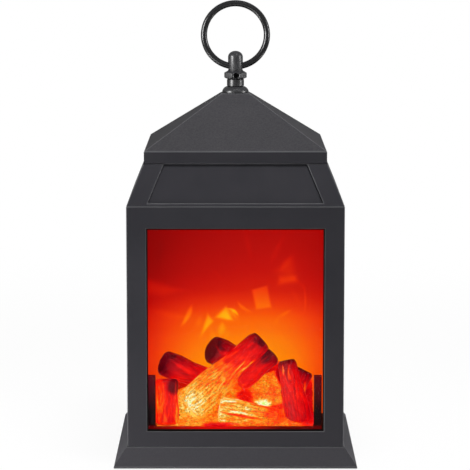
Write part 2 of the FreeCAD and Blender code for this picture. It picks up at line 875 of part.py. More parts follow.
def log_lamps():
    middle_y = log_board_y + log_board_depth / 2
    return [lamp(log_board_x + step * log_lamp_pitch, middle_y, log_board_top_z) for step in (-1, 0, 1)]


def flame_board():
    return block((-flame_board_half, flame_board_y, box_floor_z),
                 (flame_board_half, flame_board_y + flame_board_depth, flame_board_top_z))


def flame_lamps():
    return [lamp(step * flame_lamp_pitch, rotor_y, flame_board_top_z) for step in (-1, 0, 1)]


# Flame rotor, motor and bearings

def rotor_shaft():
    start = motor_x + bracket_thickness / 2 - motor_bore_depth
    end = bearing_x + bush_length + shaft_tail
    return bar(rotor_shaft_r, (start, rotor_y, rotor_z), (end, rotor_y, rotor_z))


def reflector_blades():
    pitch = (blade_end_x - blade_start_x) / blade_rows
    bore_r = rotor_shaft_r + running_gap
    parts = [bar(bore_r + sleeve_wall, (blade_start_x, 0, 0), (blade_end_x, 0, 0))]
    blade = block((blade_space / 2, -blade_thickness / 2, -blade_tip_r),
                  (pitch - blade_space / 2, blade_thickness / 2, blade_tip_r))
    for row in range(blade_rows):
        copy = blade.copy()
        copy.rotate(vec(0, 0, 0), vec(1, 0, 0), blade_turn * row)
        copy.translate(vec(blade_start_x + row * pitch, 0, 0))
        parts.append(copy)
    rotor = joined(parts).cut(bar(bore_r, (blade_start_x - overrun, 0, 0), (blade_end_x + overrun, 0, 0)))
    rotor.translate(vec(0, rotor_y, rotor_z))
    return rotor


def bracket(x_low, inward, hole_r):
    web = block((x_low, rotor_y - bracket_half, rotor_z - bracket_half),
                (x_low + bracket_thickness, flame_back_y, rotor_z + bracket_half))
    foot_end = x_low + bracket_thickness / 2 + inward * bracket_foot
    middle = x_low + bracket_thickness / 2
    foot = block((min(middle, foot_end), flame_back_y - bracket_thickness, rotor_z - bracket_half),
                 (max(middle, foot_end), flame_back_y, rotor_z + bracket_half))
    hole = bar(hole_r, (x_low - overrun, rotor_y, rotor_z), (x_low + overrun, rotor_y, rotor_z))
    screw_x = middle + inward * bracket_foot / 2
    screw_places = [(screw_x, flame_back_y - bracket_thickness, rotor_z + end * bracket_screw_half)
                    for end in (-1, 1)]
    pilots = [pilot(small_shank_r, small_screw_length, place, (0, -1, 0)) for place in screw_places]
    return less(joined([web, foot]), [hole] + pilots)


def bracket_screw_places():
    places = []
    for x_low, inward in ((motor_x, 1), (bearing_x, -1)):
        screw_x = x_low + bracket_thickness / 2 + inward * bracket_foot / 2
        places += [(screw_x, rotor_z + end * bracket_screw_half) for end in (-1, 1)]
    return places


def rotor_motor():
    can = bar(motor_r, (motor_x - motor_length, rotor_y, rotor_z), (motor_x, rotor_y, rotor_z))
    nose_end = motor_x + bracket_thickness / 2
    nose = bar(motor_nose_r, (motor_x - overrun, rotor_y, rotor_z), (nose_end, rotor_y, rotor_z))
    bore = bar(rotor_shaft_r + running_gap, (nose_end - motor_bore_depth - slip_gap, rotor_y, rotor_z),
               (nose_end + overrun, rotor_y, rotor_z))
    flat = block((motor_x - motor_length - overrun, rotor_y + motor_r - motor_flat, rotor_z - motor_r),
                 (motor_x + overrun, rotor_y + motor_r + overrun, rotor_z + motor_r))
    return less(joined([can, nose]), [bore, flat])


def rotor_bush():
    body = bar(bush_r, (bearing_x - bush_flange, rotor_y, rotor_z),
               (bearing_x + bush_length, rotor_y, rotor_z))
    flange = bar(bush_flange_r, (bearing_x - bush_flange, rotor_y, rotor_z), (bearing_x, rotor_y, rotor_z))
    bore = bar(rotor_shaft_r + running_gap, (bearing_x - overrun, rotor_y, rotor_z),
               (bearing_x + bush_length + overrun, rotor_y, rotor_z))
    return joined([body, flange]).cut(bore)


# Switch and control board

def switch_housing():
    box = block((-switch_half, rear_in_y - switch_depth, switch_z - switch_half_height),
                (switch_half, rear_in_y, switch_z + switch_half_height))
    room_half = switch_travel / 2 + knob_base_half + slip_gap
    room_front = rear_in_y - knob_base_drop - knob_base_depth - slip_gap
    room = block((-room_half, room_front, switch_z - knob_base_height - slip_gap),
                 (room_half, rear_in_y + overrun, switch_z + knob_base_height + slip_gap))
    return box.cut(room)


def switch_knob():
    # Rests at ON, at the left end of its slot as seen from the front
    x = -switch_travel / 2
    base_back = rear_in_y - knob_base_drop
    base = block((x - knob_base_half, base_back - knob_base_depth, switch_z - knob_base_height),
                 (x + knob_base_half, base_back, switch_z + knob_base_height))
    tip_y = body_half - knob_recess
    stem = block((x - knob_half, base_back - knob_base_depth / 2, switch_z - knob_half_height),
                 (x + knob_half, tip_y, switch_z + knob_half_height))
    cutter = block((-knob_groove / 2, tip_y - knob_groove, switch_z - overrun),
                   (knob_groove / 2, tip_y + overrun, switch_z + overrun))
    grooves = [placed(cutter, (x + step * knob_groove_pitch, 0, 0), (0, 0, 1)) for step in (-1, 0, 1)]
    return less(joined([base, stem]), grooves)


def control_board():
    board = block((-control_half, control_y, switch_z - control_drop),
                  (control_half, control_y + board_thickness, switch_z + control_rise))
    holes = [bar(small_shank_r + screw_gap, (side * control_screw_x, control_y - overrun, switch_z),
                 (side * control_screw_x, control_y + overrun, switch_z)) for side in (-1, 1)]
    return less(board, holes)


def board_parts():
    chip = block((chip_x - chip_half, control_y - chip_thickness, switch_z + chip_lift - chip_half_height),
                 (chip_x + chip_half, control_y, switch_z + chip_lift + chip_half_height))
    can = bar(capacitor_r, (capacitor_x, control_y - capacitor_length, switch_z + chip_lift),
              (capacitor_x, control_y, switch_z + chip_lift))
    return [chip, can]


def small_screws():
    places = [((side * tray_ear_x, 0, tray_ear_z), (0, 0, 1)) for side in (-1, 1)]
    places += [((side * control_screw_x, control_y, switch_z), (0, -1, 0)) for side in (-1, 1)]
    places += [((x, flame_back_y - bracket_thickness, z), (0, -1, 0)) for x, z in bracket_screw_places()]
    return [placed(small_screw(), position, outward) for position, outward in places]


# Leads: straight runs joined by tangent arcs, in side by side pairs

def lead(points):
    corners_in = [vec(*point) for point in points]
    edges = []
    start = corners_in[0]
    for before, corner, after in zip(corners_in, corners_in[1:], corners_in[2:]):
        into = (corner - before).normalize()
        out = (after - corner).normalize()
        half_turn = into.getAngle(out) / 2
        back = lead_bend * math.tan(half_turn)
        arc_in = corner - into * back
        arc_out = corner + out * back
        inward = (out - into).normalize()
        middle = corner + inward * (lead_bend / math.cos(half_turn) - lead_bend)
        edges.append(Part.LineSegment(start, arc_in).toShape())
        edges.append(Part.Arc(arc_in, middle, arc_out).toShape())
        start = arc_out
    edges.append(Part.LineSegment(start, corners_in[-1]).toShape())
    path = Part.Wire(edges)
    way = (corners_in[1] - corners_in[0]).normalize()
    section = Part.Wire(Part.makeCircle(lead_r, corners_in[0], way))
    tube = path.makePipeShell([section], True, False)
    share = tube.Volume / (math.pi * lead_r ** 2 * path.Length)
    print("  lead length", round(path.Length, 1), "volume share", round(share, 3))
    return tube


def lead_pair(points):
    return [lead([(x + side * lead_pitch / 2, y, z) for x, y, z in points]) for side in (-1, 1)]


def battery_leads():
    lane_y = control_y - lead_lane
    return lead_pair([(battery_lead_x, tray_half_y, lead_rise_z), (battery_lead_x, lane_y, lead_rise_z),
                      (battery_lead_x, lane_y, switch_z), (battery_lead_x, control_y, switch_z)])


def motor_leads():
    lane_y = control_y - lead_lane
    start_z = switch_z + chip_lift
    target_x, target_y, target_z = motor_lead_target
    return lead_pair([(motor_lead_x, control_y, start_z), (motor_lead_x, lane_y, start_z),
                      (target_x, lane_y, target_z), (target_x, target_y - motor_flat, target_z)])


def flame_leads():
    landing_y = flame_board_y + flame_board_depth - lead_pitch
    return lead_pair([(flame_lead_x, control_y, flame_lead_z), (flame_lead_x, landing_y, flame_lead_z),
                      (flame_lead_x, landing_y, flame_board_top_z)])


def log_leads():
    start_y = log_board_y + log_board_depth
    high_z = log_board_top_z - lead_r
    low_z = flame_board_top_z - lead_r
    return lead_pair([(log_lead_x, start_y, high_z), (log_lead_x, bed_front_y + bed_depth + lead_r, high_z),
                      (log_lead_x, flame_board_y - lead_bend, low_z), (log_lead_x, flame_board_y, low_z)])


# Hood and roof

def hood():
    outer = frustum(body_half, case_top_z, hood_top_half, hood_top_z)
    lean = (body_half - hood_top_half) / hood_height
    hollow = frustum(body_half - hood_wall + lean * overrun, case_top_z - overrun,
                     hood_top_half - hood_wall + lean * hood_deck, hood_under_z)
    bosses = [bar(hood_boss_r, (x, y, case_top_z - top_pad_drop), (x, y, case_top_z + hood_boss_rise))
              for x, y in hood_screw_places]
    below = slab(inner_half - slip_gap, inner_half - slip_gap, case_top_z - top_pad_drop, case_top_z)
    trimmed = [joined([boss.common(outer), boss.common(below)]) for boss in bosses]
    collar_out = roof_half - roof_wall - slip_gap
    collar = slab(collar_out, collar_out, hood_top_z - hood_deck / 2, hood_top_z + collar_height)
    collar = collar.cut(slab(collar_out - collar_width, collar_out - collar_width, hood_under_z - overrun,
                             hood_top_z + overrun))
    panels = quarter_turns(hood_panel(lean))
    low_z = case_top_z - top_pad_drop - top_pad_thickness
    pilots = [pilot(shank_r, hood_screw_length, (x, y, low_z), (0, 0, -1)) for x, y in hood_screw_places]
    passages = [bar(shank_r + screw_gap, (x, y, hood_under_z - overrun), (x, y, hood_top_z + overrun))
                for x, y in roof_screw_places]
    return less(joined([outer.cut(hollow)] + trimmed + [collar]), panels + pilots + passages)


def hood_panel(lean):
    # The sunk field of the front face, open at the top under the roof's fascia
    low_z = case_top_z + panel_sill
    low_half = body_half - panel_bottom_frame
    top_half = hood_top_half - panel_top_frame
    low_y = lean * panel_sill + panel_depth - body_half
    top_y = panel_depth - hood_top_half
    floor = [(-low_half, low_y, low_z), (low_half, low_y, low_z), (top_half, top_y, hood_top_z),
             (-top_half, top_y, hood_top_z)]
    return Part.Face(closed_wire(floor)).extrude(vec(0, -overrun, 0))


def hood_screws():
    screw = pan_screw(shank_r, head_r, head_depth, hood_screw_length)
    low_z = case_top_z - top_pad_drop - top_pad_thickness
    return [placed(screw, (x, y, low_z), (0, 0, -1)) for x, y in hood_screw_places]


def roof_cap():
    outer = joined([slab(roof_half, roof_half, hood_top_z, fascia_top_z),
                    frustum(roof_half, fascia_top_z, roof_top_half, roof_top_z)])
    drop = roof_wall * math.sqrt(1 + roof_slope ** 2) - roof_wall * roof_slope
    inner_half_low = roof_half - roof_wall
    inner_top_z = roof_top_z - roof_wall
    inner_top_half = inner_half_low - (inner_top_z - fascia_top_z + drop) / roof_slope
    hollow = joined([slab(inner_half_low, inner_half_low, hood_top_z - overrun, fascia_top_z - drop),
                     frustum(inner_half_low, fascia_top_z - drop, inner_top_half, inner_top_z)])
    bosses = [bar(roof_boss_r, (x, y, hood_top_z), (x, y, roof_top_z)).common(outer)
              for x, y in roof_screw_places]
    seat = bar(washer_r + roof_wall / 2, (0, 0, seat_z), (0, 0, roof_top_z)).common(outer)
    pilots = [pilot(shank_r, roof_screw_length, (x, y, hood_under_z), (0, 0, -1))
              for x, y in roof_screw_places]
    passage = bar(finial_shank_r + screw_gap, (0, 0, seat_z - overrun), (0, 0, roof_top_z + overrun))
    return less(joined([outer.cut(hollow)] + bosses + [seat]), pilots + [passage])


def roof_screws():
    screw = pan_screw(shank_r, head_r, head_depth, roof_screw_length)
    return [placed(screw, (x, y, hood_under_z), (0, 0, -1)) for x, y in roof_screw_places]


# Finial, stacked on the roof's flat top and clamped by the nut under it

def bored(shape, z_low, z_high):
    return shape.cut(bar(finial_shank_r + screw_gap, (0, 0, z_low - overrun), (0, 0, z_high + overrun)))


def finial_flange():
    # An upright lip, then a slightly swelled slope up to the neck
    profile = [(0, roof_top_z), (flange_r, roof_top_z), (flange_r, roof_top_z + flange_lip)]
    slope_run = flange_r - flange_throat_r
    slope_rise = flange_height - flange_lip
    for step in range(1, curve_steps + 1):
        part = step / curve_steps
        swell = flange_swell * math.sin(math.pi * part)
        profile.append((flange_r - slope_run * part + swell,
                        roof_top_z + flange_lip + slope_rise * part + swell))
    profile.append((0, flange_top_z))
    return bored(turned(profile), roof_top_z, flange_top_z)


def finial_neck():
    # Grooved at both ends
    groove_r = neck_r - neck_groove_depth
    profile = [(0, flange_top_z), (groove_r, flange_top_z), (groove_r, flange_top_z + neck_groove),
               (neck_r, flange_top_z + neck_groove), (neck_r, neck_top_z - neck_groove),
               (groove_r, neck_top_z - neck_groove), (groove_r, neck_top_z), (0, neck_top_z)]
    return bored(turned(profile), flange_top_z, neck_top_z)


def finial_collar():
    # Both rims are bevelled by a cone, and the collar is locked a little off square by its screw
    corner_r = facet_r / math.cos(math.pi / facet_count)
    body = prism(facet_count, corner_r, neck_top_z, facet_top_z, 1 / 2)
    bevel = turned([(0, neck_top_z), (corner_r - facet_under_in, neck_top_z),
                    (corner_r, neck_top_z + facet_under), (corner_r, facet_top_z - facet_bevel),
                    (corner_r - facet_bevel_in, facet_top_z), (0, facet_top_z)])
    hole = bar(set_screw_r + screw_gap, (0, -finial_shank_r, set_screw_z),
               (0, -facet_r - overrun, set_screw_z))
    collar = bored(body.common(bevel).cut(hole), neck_top_z, facet_top_z)
    collar.rotate(vec(0, 0, 0), vec(0, 0, 1), facet_turn)
    return collar


def set_screw():
    tip_y = -finial_shank_r - screw_gap
    end_y = set_screw_recess - facet_r
    body = bar(set_screw_r, (0, tip_y, set_screw_z), (0, end_y, set_screw_z))
    socket = prism(nut_sides, set_screw_socket_r, 0, set_screw_socket + overrun)
    screw = body.cut(placed(socket, (0, end_y + set_screw_socket, set_screw_z), (0, -1, 0)))
    screw.rotate(vec(0, 0, 0), vec(0, 0, 1), facet_turn)
    return screw


def eye_stud():
    straight_top_z = facet_top_z + stud_straight
    profile = [(0, facet_top_z), (stud_r, facet_top_z), (stud_r, straight_top_z)]
    for step in range(1, curve_steps):
        angle = math.pi / 2 * step / curve_steps
        profile.append((stud_r * math.cos(angle), straight_top_z + stud_dome * math.sin(angle)))
    profile.append((0, straight_top_z + stud_dome))
    shank_end_z = seat_z - washer_thickness - nut_height - shank_tail
    shank = bar(finial_shank_r, (0, 0, shank_end_z), (0, 0, facet_top_z + stud_r))
    eye = bar(eye_hole_r, (-stud_r - overrun, 0, eye_z), (stud_r + overrun, 0, eye_z))
    return joined([turned(profile), shank]).cut(eye)


def finial_washer():
    return bored(Part.makeCylinder(washer_r, washer_thickness, vec(0, 0, seat_z - washer_thickness)),
                 seat_z - washer_thickness, seat_z)


def finial_nut():
    top_z = seat_z - washer_thickness
    return bored(prism(nut_sides, nut_r, top_z - nut_height, top_z), top_z - nut_height, top_z)


# Ring: the round bar is a little curved inside the straight eye, so its low point hangs below the axis

def ring_handle():
    sag = ring_centre_r - math.sqrt(ring_centre_r ** 2 - stud_r ** 2)
    centre_z = eye_z - sag / 2 + ring_centre_r
    ring = Part.makeTorus(ring_centre_r, ring_bar_r, vec(0, 0, 0), vec(0, 1, 0))
    seam = block((ring_centre_r - 2 * ring_bar_r, -2 * ring_bar_r, -seam_gap / 2),
                 (ring_centre_r + 2 * ring_bar_r, 2 * ring_bar_r, seam_gap / 2))
    seam.rotate(vec(0, 0, 0), vec(0, 1, 0), -seam_angle)
    cut_ring = ring.cut(seam)
    cut_ring.translate(vec(0, 0, centre_z))
    print("  ring centre height", round(centre_z, 3), "eye height", round(eye_z, 3))
    return cut_ring


os.makedirs("parts", exist_ok=True)

write("base_plinth", base_plinth())
write("bottom_plate", bottom_plate())
write_group("plate_screws", plate_screws())
write_group("rubber_feet", rubber_feet())
write("battery_door", battery_door())
write("battery_tray", battery_tray())
write_group("battery_cells", battery_cells())
write_group("contact_springs", contact_springs())
write_group("contact_plates", contact_plates())
write_group("base_screws", base_screws())
write("body_case", body_case())
write("rear_cover", rear_cover())
write_group("rear_screws", rear_screws())
write("window_pane", window_pane())
write("light_box", light_box())
write("flame_screen", flame_screen())
write("flame_box", flame_box())
write_group("clamp_screws", clamp_screws())
write("log_bed", log_bed())
for piece_name, piece_shape in log_pieces().items():
    write(piece_name, piece_shape)
write("log_board", log_board())
write_group("log_lamps", log_lamps())
write("flame_board", flame_board())
write_group("flame_lamps", flame_lamps())
write("rotor_shaft", rotor_shaft())
write("reflector_blades", reflector_blades())
write("rotor_motor", rotor_motor())
write("motor_bracket", bracket(motor_x, 1, motor_nose_r + screw_gap))
write("bearing_bracket", bracket(bearing_x, -1, bush_r + running_gap))
write("rotor_bush", rotor_bush())
write("switch_housing", switch_housing())
write("switch_knob", switch_knob())
write("control_board", control_board())
write_group("board_parts", board_parts())
write_group("small_screws", small_screws())
write_group("battery_leads", battery_leads())
write_group("motor_leads", motor_leads())
write_group("flame_leads", flame_leads())
write_group("log_leads", log_leads())
write("hood", hood())
write_group("hood_screws", hood_screws())
write("roof_cap", roof_cap())
write_group("roof_screws", roof_screws())
write("finial_flange", finial_flange())
write("finial_neck", finial_neck())
write("finial_collar", finial_collar())
write("set_screw", set_screw())
write("eye_stud", eye_stud())
write("finial_washer", finial_washer())
write("finial_nut", finial_nut())
write("ring_handle", ring_handle())
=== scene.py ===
import bpy
import bmesh
import json
from functools import partial
from math import atan2, cos, hypot, pi, radians, sin
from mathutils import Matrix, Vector, noise


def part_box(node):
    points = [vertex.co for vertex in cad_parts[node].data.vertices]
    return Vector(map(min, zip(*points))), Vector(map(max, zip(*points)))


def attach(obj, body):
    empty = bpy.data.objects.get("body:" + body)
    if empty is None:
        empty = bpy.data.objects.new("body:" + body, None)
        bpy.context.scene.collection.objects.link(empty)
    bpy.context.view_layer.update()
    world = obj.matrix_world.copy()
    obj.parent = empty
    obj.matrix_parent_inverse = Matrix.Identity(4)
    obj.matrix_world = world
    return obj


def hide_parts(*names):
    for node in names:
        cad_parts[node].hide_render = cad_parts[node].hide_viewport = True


# Flame effect lantern: black moulded case, carrying ring, and glowing logs in front of a flame screen.
# Metres, in the frame of the CAD model; sizes in the dictionaries are in millimetres.
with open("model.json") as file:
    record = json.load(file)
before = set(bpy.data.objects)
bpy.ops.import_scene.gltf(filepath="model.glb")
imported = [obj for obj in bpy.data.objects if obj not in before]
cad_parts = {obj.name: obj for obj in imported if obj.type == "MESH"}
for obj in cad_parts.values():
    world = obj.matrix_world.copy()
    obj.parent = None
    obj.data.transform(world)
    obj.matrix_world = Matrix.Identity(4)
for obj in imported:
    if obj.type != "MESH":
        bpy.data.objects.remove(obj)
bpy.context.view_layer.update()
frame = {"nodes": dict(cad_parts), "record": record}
nodes = frame["nodes"]
mm = 0.001
bpy.context.scene.view_settings.view_transform = "Standard"
print("frame loaded:", len(nodes), "nodes")


# Camera, floor and light

viewSet = {"place": (-0.29, -1457.25, 338.48), "tilt": 7.924, "lens": 176.12, "sensor": 36, "clip": 100}
floorSet = {"half": 9000, "white": 0.95, "bounce": 0.45, "shadowShare": 0.07, "shadowNear": 260,
            "shadowFar": 900}
worldSet = {"fill": 0.24, "seen": 1.0}
# Each lamp: place, aim, size, power, whether it is mirrored, whether it washes the surfaces
lampSet = {
    "low": ((-80, -225, 8), (-20, -70, 60), (320, 90), 0.1, True, True),
    "lowLeft": ((-230, -270, 8), (-30, -70, 25), (260, 50), 0.48, True, True),
    "top": ((60, -260, 800), (0, 0, 190), (300, 260), 5.2, False, True),
    "frontTop": ((80, -480, 620), (20, -30, 200), (260, 200), 0.06, True, True),
    "back": ((150, 1300, 220), (0, 0, 100), (1000, 400), 6.5, False, True),
    "sideLeft": ((-320, -40, 10), (-75, 0, 10), (300, 18), 0.9, False, True),
    "sideRight": ((320, -40, 10), (75, 0, 10), (300, 18), 0.7, False, True),
    "stripLeft": ((-1100, -800, 350), (0, 0, 250), (380, 700), 17, True, False),
    "stripRight": ((1400, -300, 350), (0, 0, 250), (300, 700), 7.5, True, False),
}


def toLinear(red, green, blue):
    # A screen colour, 0 to 255, as the linear colour that the shaders take
    shares = [value / 255 for value in (red, green, blue)]
    return [s / 12.92 if s <= 0.04045 else ((s + 0.055) / 1.055) ** 2.4 for s in shares] + [1.0]


def metres(row):
    return {label: size * mm for label, size in row.items()}


def fill(tree, socket, value):
    # A socket takes a link or a plain value
    if isinstance(value, bpy.types.NodeSocket):
        tree.links.new(value, socket)
    else:
        socket.default_value = value


def addNode(tree, kind, inputs=None, **settings):
    node = tree.nodes.new(kind)
    for name, value in settings.items():
        setattr(node, name, value)
    for name, value in (inputs or {}).items():
        fill(tree, node.inputs[name], value)
    return node


def mathOn(tree, operation, first, second=0.0, third=0.0, clamp=False):
    values = {0: first, 1: second, 2: third}
    return addNode(tree, "ShaderNodeMath", values, operation=operation, use_clamp=clamp).outputs[0]


def rangeOn(tree, value, low, high, toLow=0.0, toHigh=1.0, way="LINEAR"):
    limits = {"Value": value, "From Min": low, "From Max": high, "To Min": toLow, "To Max": toHigh}
    return addNode(tree, "ShaderNodeMapRange", limits, interpolation_type=way).outputs["Result"]


def noiseOn(tree, place, scale, detail=2.0, rough=0.5, twist=0.0):
    values = {"Vector": place, "Scale": scale, "Detail": detail, "Roughness": rough, "Distortion": twist}
    return addNode(tree, "ShaderNodeTexNoise", values).outputs["Fac"]


def stretchOn(tree, place, scale, turn=(0, 0, 0)):
    return addNode(tree, "ShaderNodeMapping", {"Vector": place, "Scale": scale, "Rotation": turn}).outputs[0]


def objectCoords(tree):
    return addNode(tree, "ShaderNodeTexCoord").outputs["Object"]


def splitVector(tree, vector):
    return addNode(tree, "ShaderNodeSeparateXYZ", {"Vector": vector}).outputs


def blendColours(tree, factor, first, second):
    return addNode(tree, "ShaderNodeMix", {0: factor, 6: first, 7: second}, data_type="RGBA").outputs[2]


def linked(holder):
    bpy.context.scene.collection.objects.link(holder)
    return holder


def addCamera():
    camera = bpy.data.cameras.new("photoCamera")
    camera.lens = viewSet["lens"]
    camera.sensor_width = viewSet["sensor"]
    camera.clip_end = viewSet["clip"]
    holder = linked(bpy.data.objects.new("photoCamera", camera))
    holder.location = Vector(viewSet["place"]) * mm
    holder.rotation_euler = (radians(90 - viewSet["tilt"]), 0, 0)
    bpy.context.scene.camera = holder


def addLamps():
    for name, (place, aim, size, power, gloss, wash) in lampSet.items():
        light = bpy.data.lights.new(name, "AREA")
        light.shape = "RECTANGLE"
        light.size, light.size_y = [side * mm for side in size]
        light.energy = power
        holder = linked(bpy.data.objects.new(name, light))
        holder.location = Vector(place) * mm
        away = (Vector(aim) - Vector(place)).normalized()
        holder.rotation_euler = away.to_track_quat("-Z", "Y").to_euler()
        holder.visible_camera = False
        holder.visible_glossy = gloss
        holder.visible_diffuse = wash


def seenDirectly(tree):
    # 1 for what the camera sees, straight or through glass
    path = addNode(tree, "ShaderNodeLightPath").outputs
    return mathOn(tree, "MAXIMUM", path["Is Camera Ray"], path["Is Transmission Ray"])


def addWorld():
    world = bpy.data.worlds.new("studio")
    world.use_nodes = True
    tree = world.node_tree
    tree.nodes.clear()
    span = worldSet["seen"] - worldSet["fill"]
    strength = mathOn(tree, "MULTIPLY_ADD", seenDirectly(tree), span, worldSet["fill"])
    back = addNode(tree, "ShaderNodeBackground", {"Color": (1, 1, 1, 1), "Strength": strength})
    addNode(tree, "ShaderNodeOutputWorld", {"Surface": back.outputs[0]})
    bpy.context.scene.world = world


def addFloor():
    half = floorSet["half"] * mm
    mesh = bpy.data.meshes.new("paleFloor")
    corners = [(-half, -half, 0), (half, -half, 0), (half, half, 0), (-half, half, 0)]
    mesh.from_pydata(corners, [], [(0, 1, 2, 3)])
    floor = linked(bpy.data.objects.new("paleFloor", mesh))
    material = bpy.data.materials.new("paleFloor")
    material.use_nodes = True
    tree = material.node_tree
    tree.nodes.clear()
    # Seen from afar the floor is white; near the lantern a part of its light comes from the lamps
    seen = seenDirectly(tree)
    tone = mathOn(tree, "MULTIPLY_ADD", seen, floorSet["white"] - floorSet["bounce"], floorSet["bounce"])
    shade = addNode(tree, "ShaderNodeBsdfDiffuse", {"Color": tone})
    light = addNode(tree, "ShaderNodeEmission", {"Color": (1, 1, 1, 1), "Strength": 1.0})
    away = addNode(tree, "ShaderNodeVectorMath", {0: objectCoords(tree)}, operation="LENGTH")
    lit = rangeOn(tree, away.outputs["Value"], floorSet["shadowNear"] * mm, floorSet["shadowFar"] * mm,
                  1 - floorSet["shadowShare"], 1.0, "SMOOTHSTEP")
    share = mathOn(tree, "MULTIPLY", seen, lit)
    mix = addNode(tree, "ShaderNodeMixShader", {0: share, 1: shade.outputs[0], 2: light.outputs[0]})
    addNode(tree, "ShaderNodeOutputMaterial", {"Surface": mix.outputs[0]})
    mesh.materials.append(material)


addCamera()
addLamps()
addWorld()
addFloor()
print("camera, lamps and floor made")


# Shader groups that several finishes share

def newGroup(name, inputs, outputs):
    group = bpy.data.node_groups.new(name, "ShaderNodeTree")
    for label, value in inputs.items():
        kind = "NodeSocketVector" if isinstance(value, tuple) else "NodeSocketFloat"
        group.interface.new_socket(name=label, in_out="INPUT", socket_type=kind).default_value = value
    for label, kind in outputs.items():
        group.interface.new_socket(name=label, in_out="OUTPUT", socket_type="NodeSocket" + kind)
    return group, group.nodes.new("NodeGroupInput").outputs, group.nodes.new("NodeGroupOutput").inputs


def makeMouldedGrain():
    # Fine spark-eroded grain, broad tone patches and faint handling scuffs
    group, given, put = newGroup("mouldedGrain", {"Grain Scale": 1500.0, "Patch Scale": 30.0},
                                 {"Grain": "Float", "Patch": "Float", "Scuff": "Float"})
    place = objectCoords(group)
    fine = noiseOn(group, place, given["Grain Scale"], 2, 0.6)
    cells = addNode(group, "ShaderNodeTexVoronoi", {"Vector": place, "Scale": given["Grain Scale"]})
    streaks = noiseOn(group, stretchOn(group, place, (14, 420, 420), (0.3, 0.7, 0.4)), 1)
    fill(group, put["Grain"], mathOn(group, "MULTIPLY_ADD", cells.outputs["Distance"], 0.55, fine))
    fill(group, put["Patch"], noiseOn(group, place, given["Patch Scale"], 4, 0.55))
    fill(group, put["Scuff"], rangeOn(group, streaks, 0.66, 0.8))
    return group


def makeDustAndTopLight():
    # A thin mask on faces that look up: dust, and with it painted top light that makes those faces paler
    group, given, put = newGroup("settledDust", {"Amount": 0.2, "Scale": 900.0}, {"Mask": "Float"})
    facing = addNode(group, "ShaderNodeNewGeometry").outputs["Normal"]
    level = rangeOn(group, splitVector(group, facing)["Z"], 0.4, 1)
    specks = noiseOn(group, objectCoords(group), given["Scale"], 5, 0.7)
    both = mathOn(group, "MULTIPLY", level, rangeOn(group, specks, 0.25, 0.75))
    fill(group, put["Mask"], mathOn(group, "MULTIPLY", both, given["Amount"]))
    return group


wispSet = {"Place X": 0.0, "Place Z": 0.0, "Turn": 0.0, "Half Length": 0.01, "Half Width": 0.003,
           "Taper": 0.0, "Bend": 0.0, "Power": 2.0, "Softness": 0.5, "Gain": 0.2}
shardEdges = {"First Edge": (1.0, 0.0, 0.0), "Second Edge": (0.0, 1.0, 0.0), "Third Edge": (-1.0, 0.0, 0.0),
              "Fourth Edge": (0.0, -1.0, 0.0)}


def makeFlameWisp():
    # One soft tongue of light: a leaf at power 2, squarer at 6, narrower at its far end with taper
    group, given, put = newGroup("flameWisp", wispSet, {"Light": "Float"})
    calc = partial(mathOn, group)
    place = splitVector(group, objectCoords(group))
    sideways = calc("SUBTRACT", place["X"], given["Place X"])
    upwards = calc("SUBTRACT", place["Z"], given["Place Z"])
    cosine = calc("COSINE", given["Turn"])
    sine = calc("SINE", given["Turn"])
    along = calc("ADD", calc("MULTIPLY", sideways, cosine), calc("MULTIPLY", upwards, sine))
    across = calc("SUBTRACT", calc("MULTIPLY", upwards, cosine), calc("MULTIPLY", sideways, sine))
    along = calc("DIVIDE", along, given["Half Length"])
    narrow = calc("MULTIPLY", calc("MULTIPLY_ADD", along, 0.5, 0.5), given["Taper"])
    narrow = calc("MAXIMUM", calc("SUBTRACT", 1.0, narrow), 0.05)
    across = calc("DIVIDE", across, calc("MULTIPLY", given["Half Width"], narrow))
    curve = calc("MULTIPLY", calc("MULTIPLY", along, along), given["Bend"])
    across = calc("ABSOLUTE", calc("SUBTRACT", across, curve))
    ends = calc("POWER", calc("ABSOLUTE", along), given["Power"])
    sides = calc("POWER", across, calc("MULTIPLY", given["Power"], 0.5))
    inside = calc("SUBTRACT", calc("SUBTRACT", 1.0, ends), sides)
    soft = rangeOn(group, inside, 0, given["Softness"], way="SMOOTHSTEP")
    fill(group, put["Light"], calc("MULTIPLY", soft, given["Gain"]))
    return group


def makeFlameShard():
    # A four-cornered patch of light, or of painted shadow where the gain is negative; each edge is its
    # inward direction across and up, then its distance
    group, given, put = newGroup("flameShard", {**shardEdges, "Softness": 0.001, "Gain": 0.2},
                                 {"Light": "Float"})
    place = splitVector(group, objectCoords(group))
    flat = addNode(group, "ShaderNodeCombineXYZ", {"X": place["X"], "Y": place["Z"], "Z": 1.0}).outputs[0]
    reaches = [addNode(group, "ShaderNodeVectorMath", {0: flat, 1: given[label]},
                       operation="DOT_PRODUCT").outputs["Value"] for label in shardEdges]
    inside = reaches[0]
    for reach in reaches[1:]:
        inside = mathOn(group, "MINIMUM", inside, reach)
    share = mathOn(group, "MULTIPLY_ADD", mathOn(group, "DIVIDE", inside, given["Softness"]), 0.5, 0.5)
    soft = rangeOn(group, share, 0, 1, way="SMOOTHSTEP")
    fill(group, put["Light"], mathOn(group, "MULTIPLY", soft, given["Gain"]))
    return group


def setStops(ramp, stops):
    elements = ramp.color_ramp.elements
    while len(elements) < len(stops):
        elements.new(0.5)
    for element, (place, colour) in zip(elements, stops):
        element.position = place
        element.color = [colour] * 3 + [1] if isinstance(colour, float) else toLinear(*colour)


def colourRamp(tree, heat, colours):
    # Colours against a heat that can pass 1, up to the last colour's own heat
    reach = colours[-1][0]
    share = mathOn(tree, "DIVIDE", heat, reach, clamp=True)
    ramp = addNode(tree, "ShaderNodeValToRGB", {"Fac": share})
    setStops(ramp, [(place / reach, colour) for place, colour in colours])
    return ramp.outputs["Color"], share


